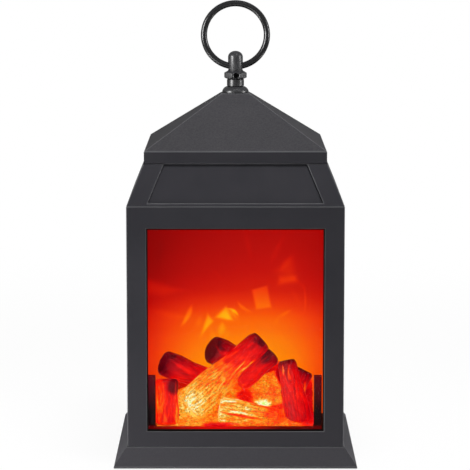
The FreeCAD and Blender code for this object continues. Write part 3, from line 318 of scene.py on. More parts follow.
emberColours = [
    (0.0, (40, 0, 5)), (0.15, (96, 0, 11)), (0.3, (168, 0, 12)), (0.45, (228, 2, 7)), (0.55, (252, 30, 8)),
    (0.65, (254, 88, 10)), (0.75, (255, 140, 24)), (0.85, (255, 190, 62)), (0.93, (255, 228, 130)),
    (1.0, (255, 250, 208)), (1.15, (206, 244, 112))]


def makeEmberLight():
    # Turns a piece's heat attribute into the colour of lit, tinted resin with streaks and soot specks
    group, given, put = newGroup(
        "emberLight", {"Speck Scale": 1000.0, "Speck Share": 0.5, "Mottle": 0.3, "Streak": 0.4},
        {"Glow": "Color", "Heat": "Float", "Relief": "Float"})
    calc = partial(mathOn, group)
    place = objectCoords(group)
    heat = addNode(group, "ShaderNodeAttribute", attribute_name="logHeat").outputs["Fac"]
    bark = addNode(group, "ShaderNodeAttribute", attribute_name="barkPlace").outputs["Vector"]
    broad = noiseOn(group, place, 520, 3, 0.6)
    lines = noiseOn(group, bark, 1100)
    # Dark parts take less of the pattern than lit ones
    lit = calc("ADD", heat, 0.15, clamp=True)
    swing = calc("MULTIPLY", calc("SUBTRACT", broad, 0.5), given["Mottle"])
    streak = calc("MULTIPLY", calc("SUBTRACT", lines, 0.5), given["Streak"])
    mottled = calc("MULTIPLY_ADD", calc("ADD", swing, streak), lit, heat)
    colour, share = colourRamp(group, mottled, emberColours)
    # Soot shows as olive specks on the bright parts, but not on the brightest
    soot = rangeOn(group, noiseOn(group, place, given["Speck Scale"], 1), 0.51, 0.62)
    bright = rangeOn(group, heat, 0.5, 0.85)
    clean = rangeOn(group, heat, 0.94, 1, 1, 0.1)
    for part in (bright, clean, given["Speck Share"]):
        soot = calc("MULTIPLY", soot, part)
    fill(group, put["Glow"], blendColours(group, soot, colour, toLinear(136, 76, 8)))
    fill(group, put["Heat"], share)
    fill(group, put["Relief"], calc("ADD", broad, lines))
    return group


groups = {"mouldedGrain": makeMouldedGrain(), "settledDust": makeDustAndTopLight(), "flameWisp": makeFlameWisp(),
          "flameShard": makeFlameShard(), "emberLight": makeEmberLight()}
print("shader groups made:", ", ".join(groups))


# Finishes

def useGroup(tree, name, values):
    return addNode(tree, "ShaderNodeGroup", values, node_tree=groups[name]).outputs


def newFinish(name):
    material = bpy.data.materials.new(name)
    material.use_nodes = True
    return material, material.node_tree


def dress(tree, values):
    for label, value in values.items():
        fill(tree, tree.nodes["Principled BSDF"].inputs[label], value)


def bumpOn(tree, height, strength, depth):
    values = {"Height": height, "Strength": strength, "Distance": depth * mm}
    return addNode(tree, "ShaderNodeBump", values).outputs["Normal"]


# Dark and light tone, least and most roughness, grain, dust with painted top light, gloss
mouldedSet = {
    "caseBlack": ((46, 46, 50), (58, 57, 61), (0.42, 0.54), 0.16, 0.13, 0.02),
    # A paler copy of the case black for its rounded edges: painted edge highlight
    "caseEdge": ((66, 66, 69), (84, 84, 87), (0.34, 0.44), 0.05, 0.0, 0.3),
    "plateBlack": ((34, 34, 36), (46, 46, 48), (0.5, 0.62), 0.3, 0.0, 0.2),
    "worksBlack": ((16, 12, 12), (24, 18, 18), (0.5, 0.62), 0.2, 0.0, 0.1),
    "worksWhite": ((216, 214, 208), (232, 230, 226), (0.3, 0.42), 0.1, 0.05, 0.4),
    "fittingBlack": ((36, 36, 38), (50, 50, 53), (0.32, 0.42), 0.06, 0.0, 1.0),
    # A darker copy of the fitting black for the carrying ring: painted shade
    "ringBlack": ((18, 18, 20), (28, 28, 30), (0.2, 0.28), 0.03, 0.0, 0.7),
    # A paler copy of the fitting black for the finial's rounded rims: painted highlight
    "fittingEdge": ((70, 70, 73), (96, 96, 99), (0.22, 0.3), 0.03, 0.0, 0.6),
    # Near-black for the set screw: painted shade of the hole it sits in
    "oxideBlack": ((9, 9, 10), (16, 16, 17), (0.4, 0.5), 0.05, 0.0, 0.1),
    # Near-black strip round the window: painted shade of the opening's inner wall
    "sealBlack": ((4, 4, 4), (8, 7, 7), (0.6, 0.7), 0.1, 0.0, 0.05),
    "rubberBlack": ((24, 24, 24), (38, 38, 37), (0.72, 0.9), 0.4, 0.2, 0.2),
    "boardGreen": ((20, 68, 38), (30, 88, 50), (0.32, 0.45), 0.08, 0.05, 0.4),
    "boardLit": ((20, 68, 38), (30, 88, 50), (0.32, 0.45), 0.08, 0.05, 0.1),
    "chipBlack": ((22, 22, 24), (34, 34, 36), (0.5, 0.6), 0.2, 0.05, 0.3),
    "switchGrip": ((38, 38, 40), (52, 52, 54), (0.45, 0.6), 0.25, 0.1, 0.3),
    "cellSleeve": ((44, 46, 50), (70, 72, 78), (0.2, 0.3), 0.03, 0.0, 0.5),
    "leadRed": ((120, 16, 12), (150, 26, 20), (0.4, 0.5), 0.06, 0.0, 0.4),
}
# Painted light: the case black is paler towards its foot, standing for light thrown up from the floor
footBounceLight = {"caseBlack": {"tone": (58, 57, 61), "low": 12, "high": 100}}
glowTones = {"boardLit": ((255, 120, 16), (255, 164, 40))}
# Dark and light tone, least and most roughness, how close the brush lines lie along x, y and z
metalSet = {
    "zincSteel": ((150, 152, 156), (196, 198, 202), (0.24, 0.42), (90, 90, 900)),
    "springSteel": ((176, 176, 178), (214, 214, 216), (0.14, 0.26), (500, 500, 500)),
    "motorCan": ((160, 160, 158), (200, 200, 198), (0.25, 0.38), (40, 900, 900)),
    "bushBrass": ((150, 116, 52), (206, 168, 92), (0.22, 0.36), (800, 300, 300)),
}
screenSet = {
    # Share of the screen's height, and the heat there
    "rise": [(0.0, 0.98), (0.30, 0.93), (0.40, 0.84), (0.50, 0.70), (0.60, 0.44), (0.68, 0.33),
             (0.80, 0.255), (1.0, 0.21)],
    "edgeLoss": 0.46, "edgePower": 2.6, "lean": 0.07, "ripple": 0.02,
    "colours": [(0.0, (118, 0, 3)), (0.1, (140, 3, 3)), (0.2, (165, 4, 3)), (0.3, (190, 9, 4)),
                (0.4, (209, 23, 4)), (0.5, (225, 40, 5)), (0.6, (238, 58, 4)), (0.7, (247, 82, 3)),
                (0.8, (252, 108, 3)), (0.9, (254, 134, 3)), (1.0, (255, 164, 8)), (1.2, (255, 214, 26))],
}
# Each wisp: place across and up, turn, half length, half width, taper, bend, power, softness, gain
wispRows = [
    (-0.8, 88.3, -36, 5.6, 1.5, 0, -1.4, 2, 0.8, 0.26), (-4.6, 87.4, 0, 11, 7, 0, 0, 2, 1, 0.05),
    (-8.6, 76.4, 78, 6, 4.2, 0, 0.3, 2, 1, 0.16), (-5.4, 72.6, 60, 4.6, 1.5, 0, 0.3, 2, 0.9, 0.07),
    (-30.6, 84.6, 62, 9.4, 1.6, -1, 0.5, 2.4, 1, 0.21), (-23.4, 81.4, 74, 5, 3.4, 0, 0, 2, 1, 0.06),
    (4.4, 90.6, -40, 6.4, 2, 0, 0.9, 2, 0.9, 0.14), (8.4, 87.8, 10, 3.4, 1.6, 0, 0, 2, 1, 0.05),
    (32, 118.8, 52, 7.4, 2.2, -0.8, 0, 2, 1, 0.08), (25.6, 126, 66, 9.5, 3, 0, 0, 2, 1, 0.06),
    (29, 133, 62, 7.5, 2, 0, 0, 2, 1, 0.05), (8, 131, 102, 12, 2.2, 0, 0, 2, 1, 0.06),
    (44.6, 95.6, 92, 11, 1.1, 0.2, 1.6, 2, 0.9, 0.12), (42.8, 104.4, 130, 5, 1.6, 0, 0.6, 2, 1, 0.05),
    (31.8, 86.6, 30, 5.8, 1.5, -0.4, 0.2, 2, 0.9, 0.10), (26.6, 82.4, 62, 4.8, 1.3, 0, 0, 2, 1, 0.05),
    (-11, 111.2, -48, 7.6, 0.55, 0.7, 0, 2, 0.8, 0.12), (-9, 101, 92, 3.4, 0.7, 0, 0, 2, 1, 0.04),
    (-43, 86, -12, 15, 4, 0, 0.2, 2, 1, 0.05), (38.6, 97, 118, 9, 3, 0, 0, 2, 1, 0.03),
    (-48, 126, 80, 12, 3, 0, 0, 2, 1, -0.03), (-14, 70.4, 96, 9, 4, 0, 0.4, 2, 1, 0.06),
]
# Each shard: its four corners, across and up, going round anticlockwise, then softness and gain
shardRows = [
    ((-12.4, 84.2), (-4.6, 82.4), (-2, 82.6), (-6, 91), 1.5, 0.30),
    ((-5, 89), (-2.6, 86), (0.8, 83.4), (-1, 88.6), 1.4, 0.16),
    ((-21.6, 73), (-14.2, 81.6), (-17.6, 86), (-19.8, 79.6), 1.4, 0.25),
    ((13.4, 89.4), (22.8, 90.6), (20.2, 104.6), (10.4, 101.8), 1.2, 0.20),
    ((27.8, 105.6), (39.2, 107.4), (38.6, 110.6), (28, 110.4), 2.4, 0.21),
    ((25.8, 114), (37, 109.4), (37.6, 115), (36.2, 123.6), 3, 0.12),
    ((-56.5, 99.8), (-46, 98.8), (-35, 101.6), (-56.5, 108.6), 3, 0.15),
    # Painted shadow of the logs on the screen, with a negative gain
    ((-46, 30), (-27, 30), (-27, 43), (-46, 43), 2, -0.5),
]


def mouldedFinish(name, row):
    material, tree = newFinish(name)
    dark, light, (low, high), grainDepth, dustTopLightShare, gloss = row
    grain = useGroup(tree, "mouldedGrain", {"Grain Scale": 1500})
    tone = blendColours(tree, grain["Patch"], toLinear(*dark), toLinear(*light))
    if name in footBounceLight:
        # Painted light: paler towards its foot, standing for light thrown up from the floor
        footLift = footBounceLight[name]
        height = splitVector(tree, objectCoords(tree))["Z"]
        near = rangeOn(tree, height, footLift["low"] * mm, footLift["high"] * mm, 1, 0)
        tone = blendColours(tree, near, tone, toLinear(*footLift["tone"]))
    # Dust on upward faces, and painted top light: those faces paler
    dustWithTopLight = useGroup(tree, "settledDust", {"Amount": dustTopLightShare})
    tone = blendColours(tree, dustWithTopLight["Mask"], tone, toLinear(150, 148, 144))
    rough = mathOn(tree, "MULTIPLY_ADD", grain["Patch"], high - low, low)
    rough = mathOn(tree, "MULTIPLY_ADD", grain["Scuff"], -0.12, rough)
    dress(tree, {"Base Color": tone, "Roughness": rough, "Specular IOR Level": gloss,
                 "Normal": bumpOn(tree, grain["Grain"], grainDepth, 0.12)})
    if name in glowTones:
        glow = blendColours(tree, grain["Patch"], *[toLinear(*tone) for tone in glowTones[name]])
        dress(tree, {"Emission Color": glow, "Emission Strength": 1})
    return material


def metalFinish(name, row):
    material, tree = newFinish(name)
    dark, light, (low, high), brush = row
    lines = noiseOn(tree, stretchOn(tree, objectCoords(tree), brush), 1, 3)
    dress(tree, {"Base Color": blendColours(tree, lines, toLinear(*dark), toLinear(*light)),
                 "Roughness": mathOn(tree, "MULTIPLY_ADD", lines, high - low, low),
                 "Metallic": 1, "Normal": bumpOn(tree, lines, 0.1, 0.05)})
    return material


def wispLight(tree, row):
    values = dict(zip(wispSet, row))
    values["Turn"] = radians(values["Turn"])
    for label in ("Place X", "Place Z", "Half Length", "Half Width"):
        values[label] *= mm
    return useGroup(tree, "flameWisp", values)["Light"]


def shardLight(tree, row):
    *corners, soft, gain = row
    values = {"Softness": soft * mm, "Gain": gain}
    for label, (x, z), (nextX, nextZ) in zip(shardEdges, corners, corners[1:] + corners[:1]):
        inward = Vector((z - nextZ, nextX - x)).normalized()
        values[label] = (inward.x, inward.y, -(inward.x * x + inward.y * z) * mm)
    return useGroup(tree, "flameShard", values)["Light"]


def flameFinish():
    material, tree = newFinish("flameSheet")
    calc = partial(mathOn, tree)
    lo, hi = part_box("flame_screen")
    place = splitVector(tree, objectCoords(tree))
    share = calc("DIVIDE", calc("SUBTRACT", place["Z"], lo.z), hi.z - lo.z)
    rise = addNode(tree, "ShaderNodeValToRGB", {"Fac": share})
    rise.color_ramp.interpolation = "CARDINAL"
    setStops(rise, screenSet["rise"])
    across = calc("DIVIDE", place["X"], hi.x)
    edges = calc("POWER", calc("ABSOLUTE", across), screenSet["edgePower"])
    kept = calc("MULTIPLY_ADD", edges, -screenSet["edgeLoss"], 1)
    heat = calc("MULTIPLY", kept, rise.outputs["Color"])
    heat = calc("MULTIPLY_ADD", across, screenSet["lean"], heat)
    smoke = calc("SUBTRACT", noiseOn(tree, objectCoords(tree), 34, twist=1.2), 0.5)
    heat = calc("MULTIPLY_ADD", smoke, 2 * screenSet["ripple"], heat)
    for row in wispRows:
        heat = calc("ADD", heat, wispLight(tree, row))
    for row in shardRows:
        heat = calc("ADD", heat, shardLight(tree, row))
    colour, share = colourRamp(tree, heat, screenSet["colours"])
    dress(tree, {"Emission Color": colour, "Emission Strength": 1, "Base Color": toLinear(22, 3, 2),
                 "Roughness": 0.6, "Specular IOR Level": 0.03})
    return material


def emberFinish(name, speckShare, mottle, streak):
    material, tree = newFinish(name)
    light = useGroup(tree, "emberLight", {"Speck Share": speckShare, "Mottle": mottle, "Streak": streak})
    skin = blendColours(tree, light["Heat"], toLinear(24, 1, 2), toLinear(60, 12, 6))
    dress(tree, {"Emission Color": light["Glow"], "Emission Strength": 1, "Base Color": skin,
                 "Roughness": 0.36, "Specular IOR Level": 0.06,
                 "Normal": bumpOn(tree, light["Relief"], 0.5, 0.4)})
    return material


bedGlowSet = {"cheekLow": 34, "cheekHigh": 56, "middle": -12, "near": 6, "far": 40,
              "lipLow": 23.6, "lipHigh": 24.6}


def bedFinish():
    # The bed's black moulding takes a dull red light on its cheeks and along its front edge
    material, tree = newFinish("bedGlow")
    size = metres(bedGlowSet)
    place = splitVector(tree, objectCoords(tree))
    cheek = rangeOn(tree, place["Z"], size["cheekLow"], size["cheekHigh"])
    off = mathOn(tree, "ABSOLUTE", mathOn(tree, "SUBTRACT", place["X"], size["middle"]))
    middle = rangeOn(tree, off, size["near"], size["far"], 1, 0.15)
    lip = rangeOn(tree, place["Z"], size["lipLow"], size["lipHigh"], 1, 0)
    front = mathOn(tree, "MULTIPLY", middle, lip)
    glow = blendColours(tree, cheek, toLinear(4, 0, 1), toLinear(84, 0, 14))
    glow = blendColours(tree, front, glow, toLinear(214, 6, 4))
    grain = useGroup(tree, "mouldedGrain", {"Grain Scale": 1500})
    skin = blendColours(tree, grain["Patch"], toLinear(14, 5, 6), toLinear(24, 8, 9))
    dress(tree, {"Emission Color": glow, "Emission Strength": 1, "Base Color": skin, "Roughness": 0.5,
                 "Specular IOR Level": 0.06})
    return material


def paneFinish():
    material, tree = newFinish("clearPane")
    smear = noiseOn(tree, objectCoords(tree), 24, 4)
    dress(tree, {"Roughness": mathOn(tree, "MULTIPLY", smear, 0.02), "Base Color": (0.99, 0.99, 0.99, 1),
                 "Transmission Weight": 1, "IOR": 1.06})
    return material


def lampFinish():
    material, tree = newFinish("lampAmber")
    core = noiseOn(tree, objectCoords(tree), 300)
    tone = blendColours(tree, core, toLinear(255, 150, 40), toLinear(255, 196, 96))
    dress(tree, {"Base Color": tone, "Emission Color": tone, "Emission Strength": 1, "Roughness": 0.15})
    return material


finishes = {name: mouldedFinish(name, row) for name, row in mouldedSet.items()}
finishes.update({name: metalFinish(name, row) for name, row in metalSet.items()})
finishes.update({"clearPane": paneFinish(), "flameSheet": flameFinish(),
                 "glowingLog": emberFinish("glowingLog", 0.6, 0.34, 0.62),
                 "glowingEmber": emberFinish("glowingEmber", 0.6, 0.45, 0.3),
                 "bedGlow": bedFinish(), "lampAmber": lampFinish()})


def camelCase(name):
    first, *others = name.split("_")
    return first + "".join(word.title() for word in others)


# A finish has its slot's name in camel case, apart from these slots and single nodes
slotFinish = {"steel": "zincSteel"}
# The set screw takes painted shade of its hole
nodeFinish = {"set_screw": "oxideBlack", "ring_handle": "ringBlack", "log_bed": "bedGlow",
              "log_board": "boardLit"}
nodeSlot = {row["node"]: row["material_slot"] for row in frame["record"]["subparts"]}
bodies = frame["record"]["behaviour"]["bodies"]
nodeBody = {node: body for body, members in bodies.items() for node in members}


def finishOf(node):
    slot = nodeSlot[node]
    return finishes[nodeFinish.get(node, slotFinish.get(slot, camelCase(slot)))]


for name, node in nodes.items():
    node.data.materials.clear()
    node.data.materials.append(finishOf(name))
print("finishes made:", len(finishes))


# Making and placing pieces

def addPiece(name, mesh, node, sharpFrom, glintFinish=None):
    # Shows a mesh in place of a CAD node, on its body and with the finish of its material slot
    if mesh.materials:
        # Clearing also puts every face in the first slot, so a shell with marked edges comes with no list
        mesh.materials.clear()
    mesh.materials.append(finishOf(node))
    if glintFinish:
        mesh.materials.append(finishes[glintFinish])
    piece = linked(bpy.data.objects.new(name, mesh))
    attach(piece, nodeBody[node])
    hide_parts(node)
    mesh.shade_smooth()
    mesh.set_sharp_from_angle(angle=radians(sharpFrom))
    piece.modifiers.new("weightedShading", "WEIGHTED_NORMAL").keep_sharp = True


mergeSet = {"near": 2e-6, "flatBelow": 0.6}


def mergedMesh(nodeName, flatten):
    work = bmesh.new()
    work.from_mesh(nodes[nodeName].data)
    bmesh.ops.remove_doubles(work, verts=work.verts, dist=mergeSet["near"])
    if flatten:
        bmesh.ops.dissolve_limit(work, angle_limit=radians(mergeSet["flatBelow"]), verts=work.verts,
                                 edges=work.edges, use_dissolve_boundaries=False)
    return work


def plainMesh(name, work):
    mesh = bpy.data.meshes.new(name)
    work.to_mesh(mesh)
    work.free()
    return mesh


# Case shells: the CAD shells with small moulding radii on their long edges, which take a paler finish as a
# painted edge highlight.
# Each row: CAD node, edge radius, least length of a rounded edge
shellRows = {
    "caseFront": ("body_case", 0.45, 20), "plinthShell": ("base_plinth", 0.4, 40),
    "shoulderHood": ("hood", 0.5, 15), "pyramidRoof": ("roof_cap", 0.55, 15),
    "rearCover": ("rear_cover", 0.35, 4), "bottomPlate": ("bottom_plate", 0.25, 20),
    "batteryDoor": ("battery_door", 0.25, 12), "logTray": ("log_bed", 0.3, 10),
}
# Finial: the CAD turnings with rounded rims in a paler finish, a painted highlight, and smooth shading
turningRows = {
    "finialFlange": ("finial_flange", 0.25, 0), "finialNeck": ("finial_neck", 0.12, 0),
    "finialCollar": ("finial_collar", 0.22, 3), "eyeStud": ("eye_stud", 0, 9),
}


def roundEdges(name, row, flatten, bendFrom, sharpFrom, glintFinish):
    node, radius, minimum = row
    work = mergedMesh(node, flatten)
    if radius > 0:
        edges = [edge for edge in work.edges if len(edge.link_faces) == 2
                 and edge.calc_face_angle(0) > radians(bendFrom) and edge.is_convex
                 and edge.calc_length() > minimum * mm]
        bmesh.ops.bevel(work, geom=edges, offset=radius * mm, offset_type="OFFSET", segments=2,
                        profile=0.5, affect="EDGES", clamp_overlap=False, material=1)
    addPiece(name, plainMesh(name, work), node, sharpFrom, glintFinish)


for name, row in shellRows.items():
    roundEdges(name, row, True, 20, 32, {"case_black": "caseEdge"}.get(nodeSlot[row[0]]))
print("case shells made:", len(shellRows))
for name, row in turningRows.items():
    roundEdges(name, row, False, 38, 38, "fittingEdge")
print("finial made:", len(turningRows))


# Geometry Nodes pieces; their dictionaries in millimetres have the names of the tree's inputs

def newTree(name, inputs):
    tree = bpy.data.node_groups.new(name, "GeometryNodeTree")
    tree.interface.new_socket(name="Geometry", in_out="OUTPUT", socket_type="NodeSocketGeometry")
    tree.interface.new_socket(name="Geometry", in_out="INPUT", socket_type="NodeSocketGeometry")
    for label, value in inputs.items():
        kind = {int: "NodeSocketInt", float: "NodeSocketFloat"}[type(value)]
        tree.interface.new_socket(name=label, in_out="INPUT", socket_type=kind).default_value = value
    return tree, tree.nodes.new("NodeGroupInput").outputs


def endTree(tree, geometry, finish):
    whole = addNode(tree, "GeometryNodeRealizeInstances", {"Geometry": geometry}).outputs[0]
    dressed = addNode(tree, "GeometryNodeSetMaterial", {"Geometry": whole, "Material": finishes[finish]})
    addNode(tree, "NodeGroupOutput", {"Geometry": dressed.outputs[0]})
    return tree


def joinParts(tree, parts):
    join = tree.nodes.new("GeometryNodeJoinGeometry")
    for part in parts:
        tree.links.new(part, join.inputs[0])
    return join.outputs[0]


def cutOut(tree, mesh, cutters):
    cut = addNode(tree, "GeometryNodeMeshBoolean", {"Mesh 1": mesh}, operation="DIFFERENCE")
    for cutter in cutters:
        tree.links.new(cutter, cut.inputs["Mesh 2"])
    return cut.outputs["Mesh"]


def shifted(tree, geometry, place=(0, 0, 0), turn=(0, 0, 0)):
    values = {"Geometry": geometry, "Translation": place, "Rotation": turn}
    return addNode(tree, "GeometryNodeTransform", values).outputs[0]


def threeWay(tree, x=0.0, y=0.0, z=0.0):
    return addNode(tree, "ShaderNodeCombineXYZ", {"X": x, "Y": y, "Z": z}).outputs[0]


def cylinder(tree, sides, radius, depth, place, turn=(0, 0, 0)):
    values = {"Vertices": sides, "Radius": radius, "Depth": depth}
    return shifted(tree, addNode(tree, "GeometryNodeMeshCylinder", values).outputs["Mesh"], place, turn)


def cone(tree, sides, top, bottom, depth):
    values = {"Vertices": sides, "Radius Top": top, "Radius Bottom": bottom, "Depth": depth}
    return addNode(tree, "GeometryNodeMeshCone", values).outputs["Mesh"]


def circle(tree, sides, radius):
    values = {"Resolution": sides, "Radius": radius}
    return addNode(tree, "GeometryNodeCurvePrimitiveCircle", values).outputs["Curve"]


def tube(tree, path, sides, radius, caps):
    values = {"Curve": path, "Profile Curve": circle(tree, sides, radius), "Fill Caps": caps}
    return addNode(tree, "GeometryNodeCurveToMesh", values).outputs[0]


def onPoints(tree, points, part):
    # Copies a part onto points, each turned by the points' own attribute
    turn = addNode(tree, "GeometryNodeInputNamedAttribute", {"Name": "turn"}, data_type="FLOAT_VECTOR")
    values = {"Points": points, "Instance": part, "Rotation": turn.outputs[0]}
    return addNode(tree, "GeometryNodeInstanceOnPoints", values).outputs[0]


def pointMesh(name, rows):
    # Vertices with a turn each, from (place in mm, turn in degrees)
    mesh = bpy.data.meshes.new(name)
    mesh.from_pydata([Vector(place) * mm for place, turn in rows], [], [])
    turns = mesh.attributes.new("turn", "FLOAT_VECTOR", "POINT")
    for item, (place, turn) in zip(turns.data, rows):
        item.vector = [radians(angle) for angle in turn]
    return mesh


def settled(mesh, kind, settings, inputs=None):
    # Runs one modifier on a mesh and returns the result as a plain mesh
    holder = linked(bpy.data.objects.new(mesh.name, mesh))
    modifier = holder.modifiers.new(mesh.name, kind)
    for name, value in settings.items():
        setattr(modifier, name, value)
    for identifier, value in (inputs or {}).items():
        modifier[identifier] = value
    result = bpy.data.meshes.new_from_object(holder.evaluated_get(bpy.context.evaluated_depsgraph_get()))
    holder.modifiers.clear()
    bpy.data.objects.remove(holder)
    return result


def grow(tree, startMesh, values):
    inputs = {item.identifier: values[item.name] for item in tree.interface.items_tree
              if item.item_type == "SOCKET" and item.in_out == "INPUT" and item.name in values}
    return settled(startMesh, "NODES", {"node_group": tree}, inputs)


def moved(mesh, step):
    for vertex in mesh.vertices:
        vertex.co += step
    return mesh


ringSet = {"bar": 2, "gap": 0.06, "seamTurn": 136}


def makeRing():
    lo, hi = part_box("ring_handle")
    bar = ringSet["bar"] * mm
    radius = (hi.z - lo.z) / 2 - bar
    values = {"Ring Radius": radius, "Bar Radius": bar, "Gap Turn": ringSet["gap"] * mm / radius,
              "Seam Turn": radians(ringSet["seamTurn"])}
    tree, given = newTree("carryingRing", values)
    half = mathOn(tree, "MULTIPLY", given["Gap Turn"], 0.5)
    start = mathOn(tree, "ADD", given["Seam Turn"], half)
    sweep = mathOn(tree, "SUBTRACT", 2 * pi, given["Gap Turn"])
    arc = addNode(tree, "GeometryNodeCurveArc", {"Resolution": 200, "Radius": given["Ring Radius"],
                                                 "Start Angle": start, "Sweep Angle": sweep})
    bent = tube(tree, arc.outputs["Curve"], 32, given["Bar Radius"], True)
    endTree(tree, shifted(tree, bent, turn=(pi / 2, 0, 0)), "fittingBlack")
    mesh = moved(grow(tree, pointMesh("ringStart", []), values), Vector((0, 0, (lo.z + hi.z) / 2)))
    addPiece("carryingRing", mesh, "ring_handle", 40)


makeRing()
print("carrying ring made")


screwSet = {"Head Radius": 2.8, "Shank Radius": 1.5, "Head Depth": 1.5, "Length": 8, "Slot Width": 0.8,
            "Slot Span": 3.5, "Slot Depth": 0.8}
plateScrewPlaces = [(60, 41), (-60, 41), (60, -41), (-60, -41)]
rearScrewPlaces = [(-60.85, 42.65), (60.85, 42.65), (-60.85, 134.65), (60.85, 134.65)]
# CAD node, length, then place and turn of each, with the crosses as a driver leaves them
screwRows = {
    "plateScrews": ("plate_screws", 8, [((x, y, 1.2), (180, 0, 23 + 31 * index))
                                        for index, (x, y) in enumerate(plateScrewPlaces)]),
    "rearScrews": ("rear_screws", 9, [((x, 66.75, z), (-90, 12 + 37 * index, 0))
                                      for index, (x, z) in enumerate(rearScrewPlaces)]),
}


def makeScrewTree():
    # A countersunk screw with a cross recess, its head's face at height zero and its shank downwards
    tree, given = newTree("sunkScrews", metres(screwSet))
    calc = partial(mathOn, tree)
    head = cone(tree, 40, given["Head Radius"], given["Shank Radius"], given["Head Depth"])
    head = shifted(tree, head, threeWay(tree, z=calc("MULTIPLY", given["Head Depth"], -1)))
    shankLength = calc("SUBTRACT", given["Length"], given["Head Depth"])
    down = calc("MULTIPLY", calc("ADD", given["Length"], given["Head Depth"]), -0.5)
    shank = cylinder(tree, 24, given["Shank Radius"], shankLength, threeWay(tree, z=down))
    deep = calc("MULTIPLY", given["Slot Depth"], 2)
    span, width = given["Slot Span"], given["Slot Width"]
    bars = [addNode(tree, "GeometryNodeMeshCube", {"Size": threeWay(tree, *size, deep)}).outputs["Mesh"]
            for size in ((span, width), (width, span))]
    screw = joinParts(tree, [cutOut(tree, head, bars), shank])
    return endTree(tree, onPoints(tree, given["Geometry"], screw), "zincSteel")


screwTree = makeScrewTree()
for name, (node, length, rows) in screwRows.items():
    values = metres({**screwSet, "Length": length})
    addPiece(name, grow(screwTree, pointMesh(name + "Points", rows), values), node, 30)
print("outer screws made:", len(plateScrewPlaces) + len(rearScrewPlaces))


footSet = {"Radius": 7, "Height": 1.2, "Bevel": 0.4, "Ring Radius": 4.2, "Ring Width": 0.5}
footPlaces = [((x, y, 0), (0, 0, 0)) for x in (-56, 56) for y in (-56, 56)]


def makeFootTree():
    # A rubber foot with a chamfered rim and one moulded ring groove, standing on height zero
    tree, given = newTree("rubberFeet", metres(footSet))
    narrow = mathOn(tree, "SUBTRACT", given["Radius"], given["Bevel"])
    rim = cone(tree, 56, given["Radius"], narrow, given["Bevel"])
    tall = mathOn(tree, "SUBTRACT", given["Height"], given["Bevel"])
    middle = mathOn(tree, "MULTIPLY_ADD", tall, 0.5, given["Bevel"])
    disc = cylinder(tree, 56, given["Radius"], tall, threeWay(tree, z=middle))
    groove = tube(tree, circle(tree, 56, given["Ring Radius"]), 8, given["Ring Width"], False)
    foot = joinParts(tree, [cutOut(tree, rim, [groove]), disc])
    return endTree(tree, onPoints(tree, given["Geometry"], foot), "rubberBlack")


feet = grow(makeFootTree(), pointMesh("footPoints", footPlaces), metres(footSet))
addPiece("rubberFeet", feet, "rubber_feet", 30)
print("feet made:", len(footPlaces))


springSet = {"Radius": 3.2, "Wire": 0.3, "Length": 3.3}
springValues = {**metres(springSet), "Turns": 3.0}
springPlaces = [((-26.9, -15.1, 10.6), (0, 90, 0)), ((26.9, 0, 10.6), (0, -90, 0)),
                ((-26.9, 15.1, 10.6), (0, 90, 0))]


def makeSpringTree():
    tree, given = newTree("cellSprings", springValues)
    coil = addNode(tree, "GeometryNodeCurveSpiral", {
        "Resolution": 28, "Rotations": given["Turns"], "Start Radius": given["Radius"],
        "End Radius": given["Radius"], "Height": given["Length"]})
    wire = tube(tree, coil.outputs["Curve"], 12, given["Wire"], True)
    return endTree(tree, onPoints(tree, given["Geometry"], wire), "springSteel")


springs = grow(makeSpringTree(), pointMesh("springPoints", springPlaces), springValues)
addPiece("cellSprings", springs, "contact_springs", 50)
print("cell springs made:", len(springPlaces))


rotorSet = {"Pitch": 10, "Start": -35, "Length": 8, "Tip": 14, "Thick": 0.6, "Sleeve": 2.45}
rotorValues = {**metres(rotorSet), "Blades": 7, "Turn": radians(50)}
rotorAxis = (0, 13.198, 63.7)


def makeRotorTree():
    # Thin mirrored blades round the shaft, each turned on from the one before
    tree, given = newTree("flameRotor", rotorValues)
    calc = partial(mathOn, tree)
    size = threeWay(tree, given["Length"], given["Thick"], calc("MULTIPLY", given["Tip"], 2))
    blade = addNode(tree, "GeometryNodeMeshCube", {"Size": size, "Vertices X": 5, "Vertices Y": 2,
                                                   "Vertices Z": 15})
    first = calc("MULTIPLY_ADD", given["Pitch"], 0.5, given["Start"])
    line = addNode(tree, "GeometryNodeMeshLine", {
        "Count": given["Blades"], "Start Location": threeWay(tree, first),
        "Offset": threeWay(tree, given["Pitch"])})
    step = calc("MULTIPLY", addNode(tree, "GeometryNodeInputIndex").outputs[0], given["Turn"])
    fan = addNode(tree, "GeometryNodeInstanceOnPoints", {
        "Points": line.outputs[0], "Instance": blade.outputs["Mesh"], "Rotation": threeWay(tree, step)})
    span = calc("MULTIPLY", given["Pitch"], given["Blades"])
    middle = calc("MULTIPLY_ADD", span, 0.5, given["Start"])
    sleeve = cylinder(tree, 32, given["Sleeve"], span, threeWay(tree, middle), (0, pi / 2, 0))
    return endTree(tree, joinParts(tree, [fan.outputs[0], sleeve]), "worksWhite")


rotor = moved(grow(makeRotorTree(), pointMesh("rotorStart", []), rotorValues), Vector(rotorAxis) * mm)
addPiece("flameRotor", rotor, "reflector_blades", 40)
print("flame rotor made:", rotorValues["Blades"], "blades")


lampShape = {"Flange": 2.9, "Flange Height": 1, "Radius": 2.5, "Straight": 3.5}
lampPlaces = {"logLamps": ("log_lamps", [((x, -33.02, 24.4), (0, 0, 0)) for x in (-25.98, -4, 17.98)]),
              "flameLamps": ("flame_lamps", [((x, 13.198, 22.9), (0, 0, 0)) for x in (-20, 0, 20)])}


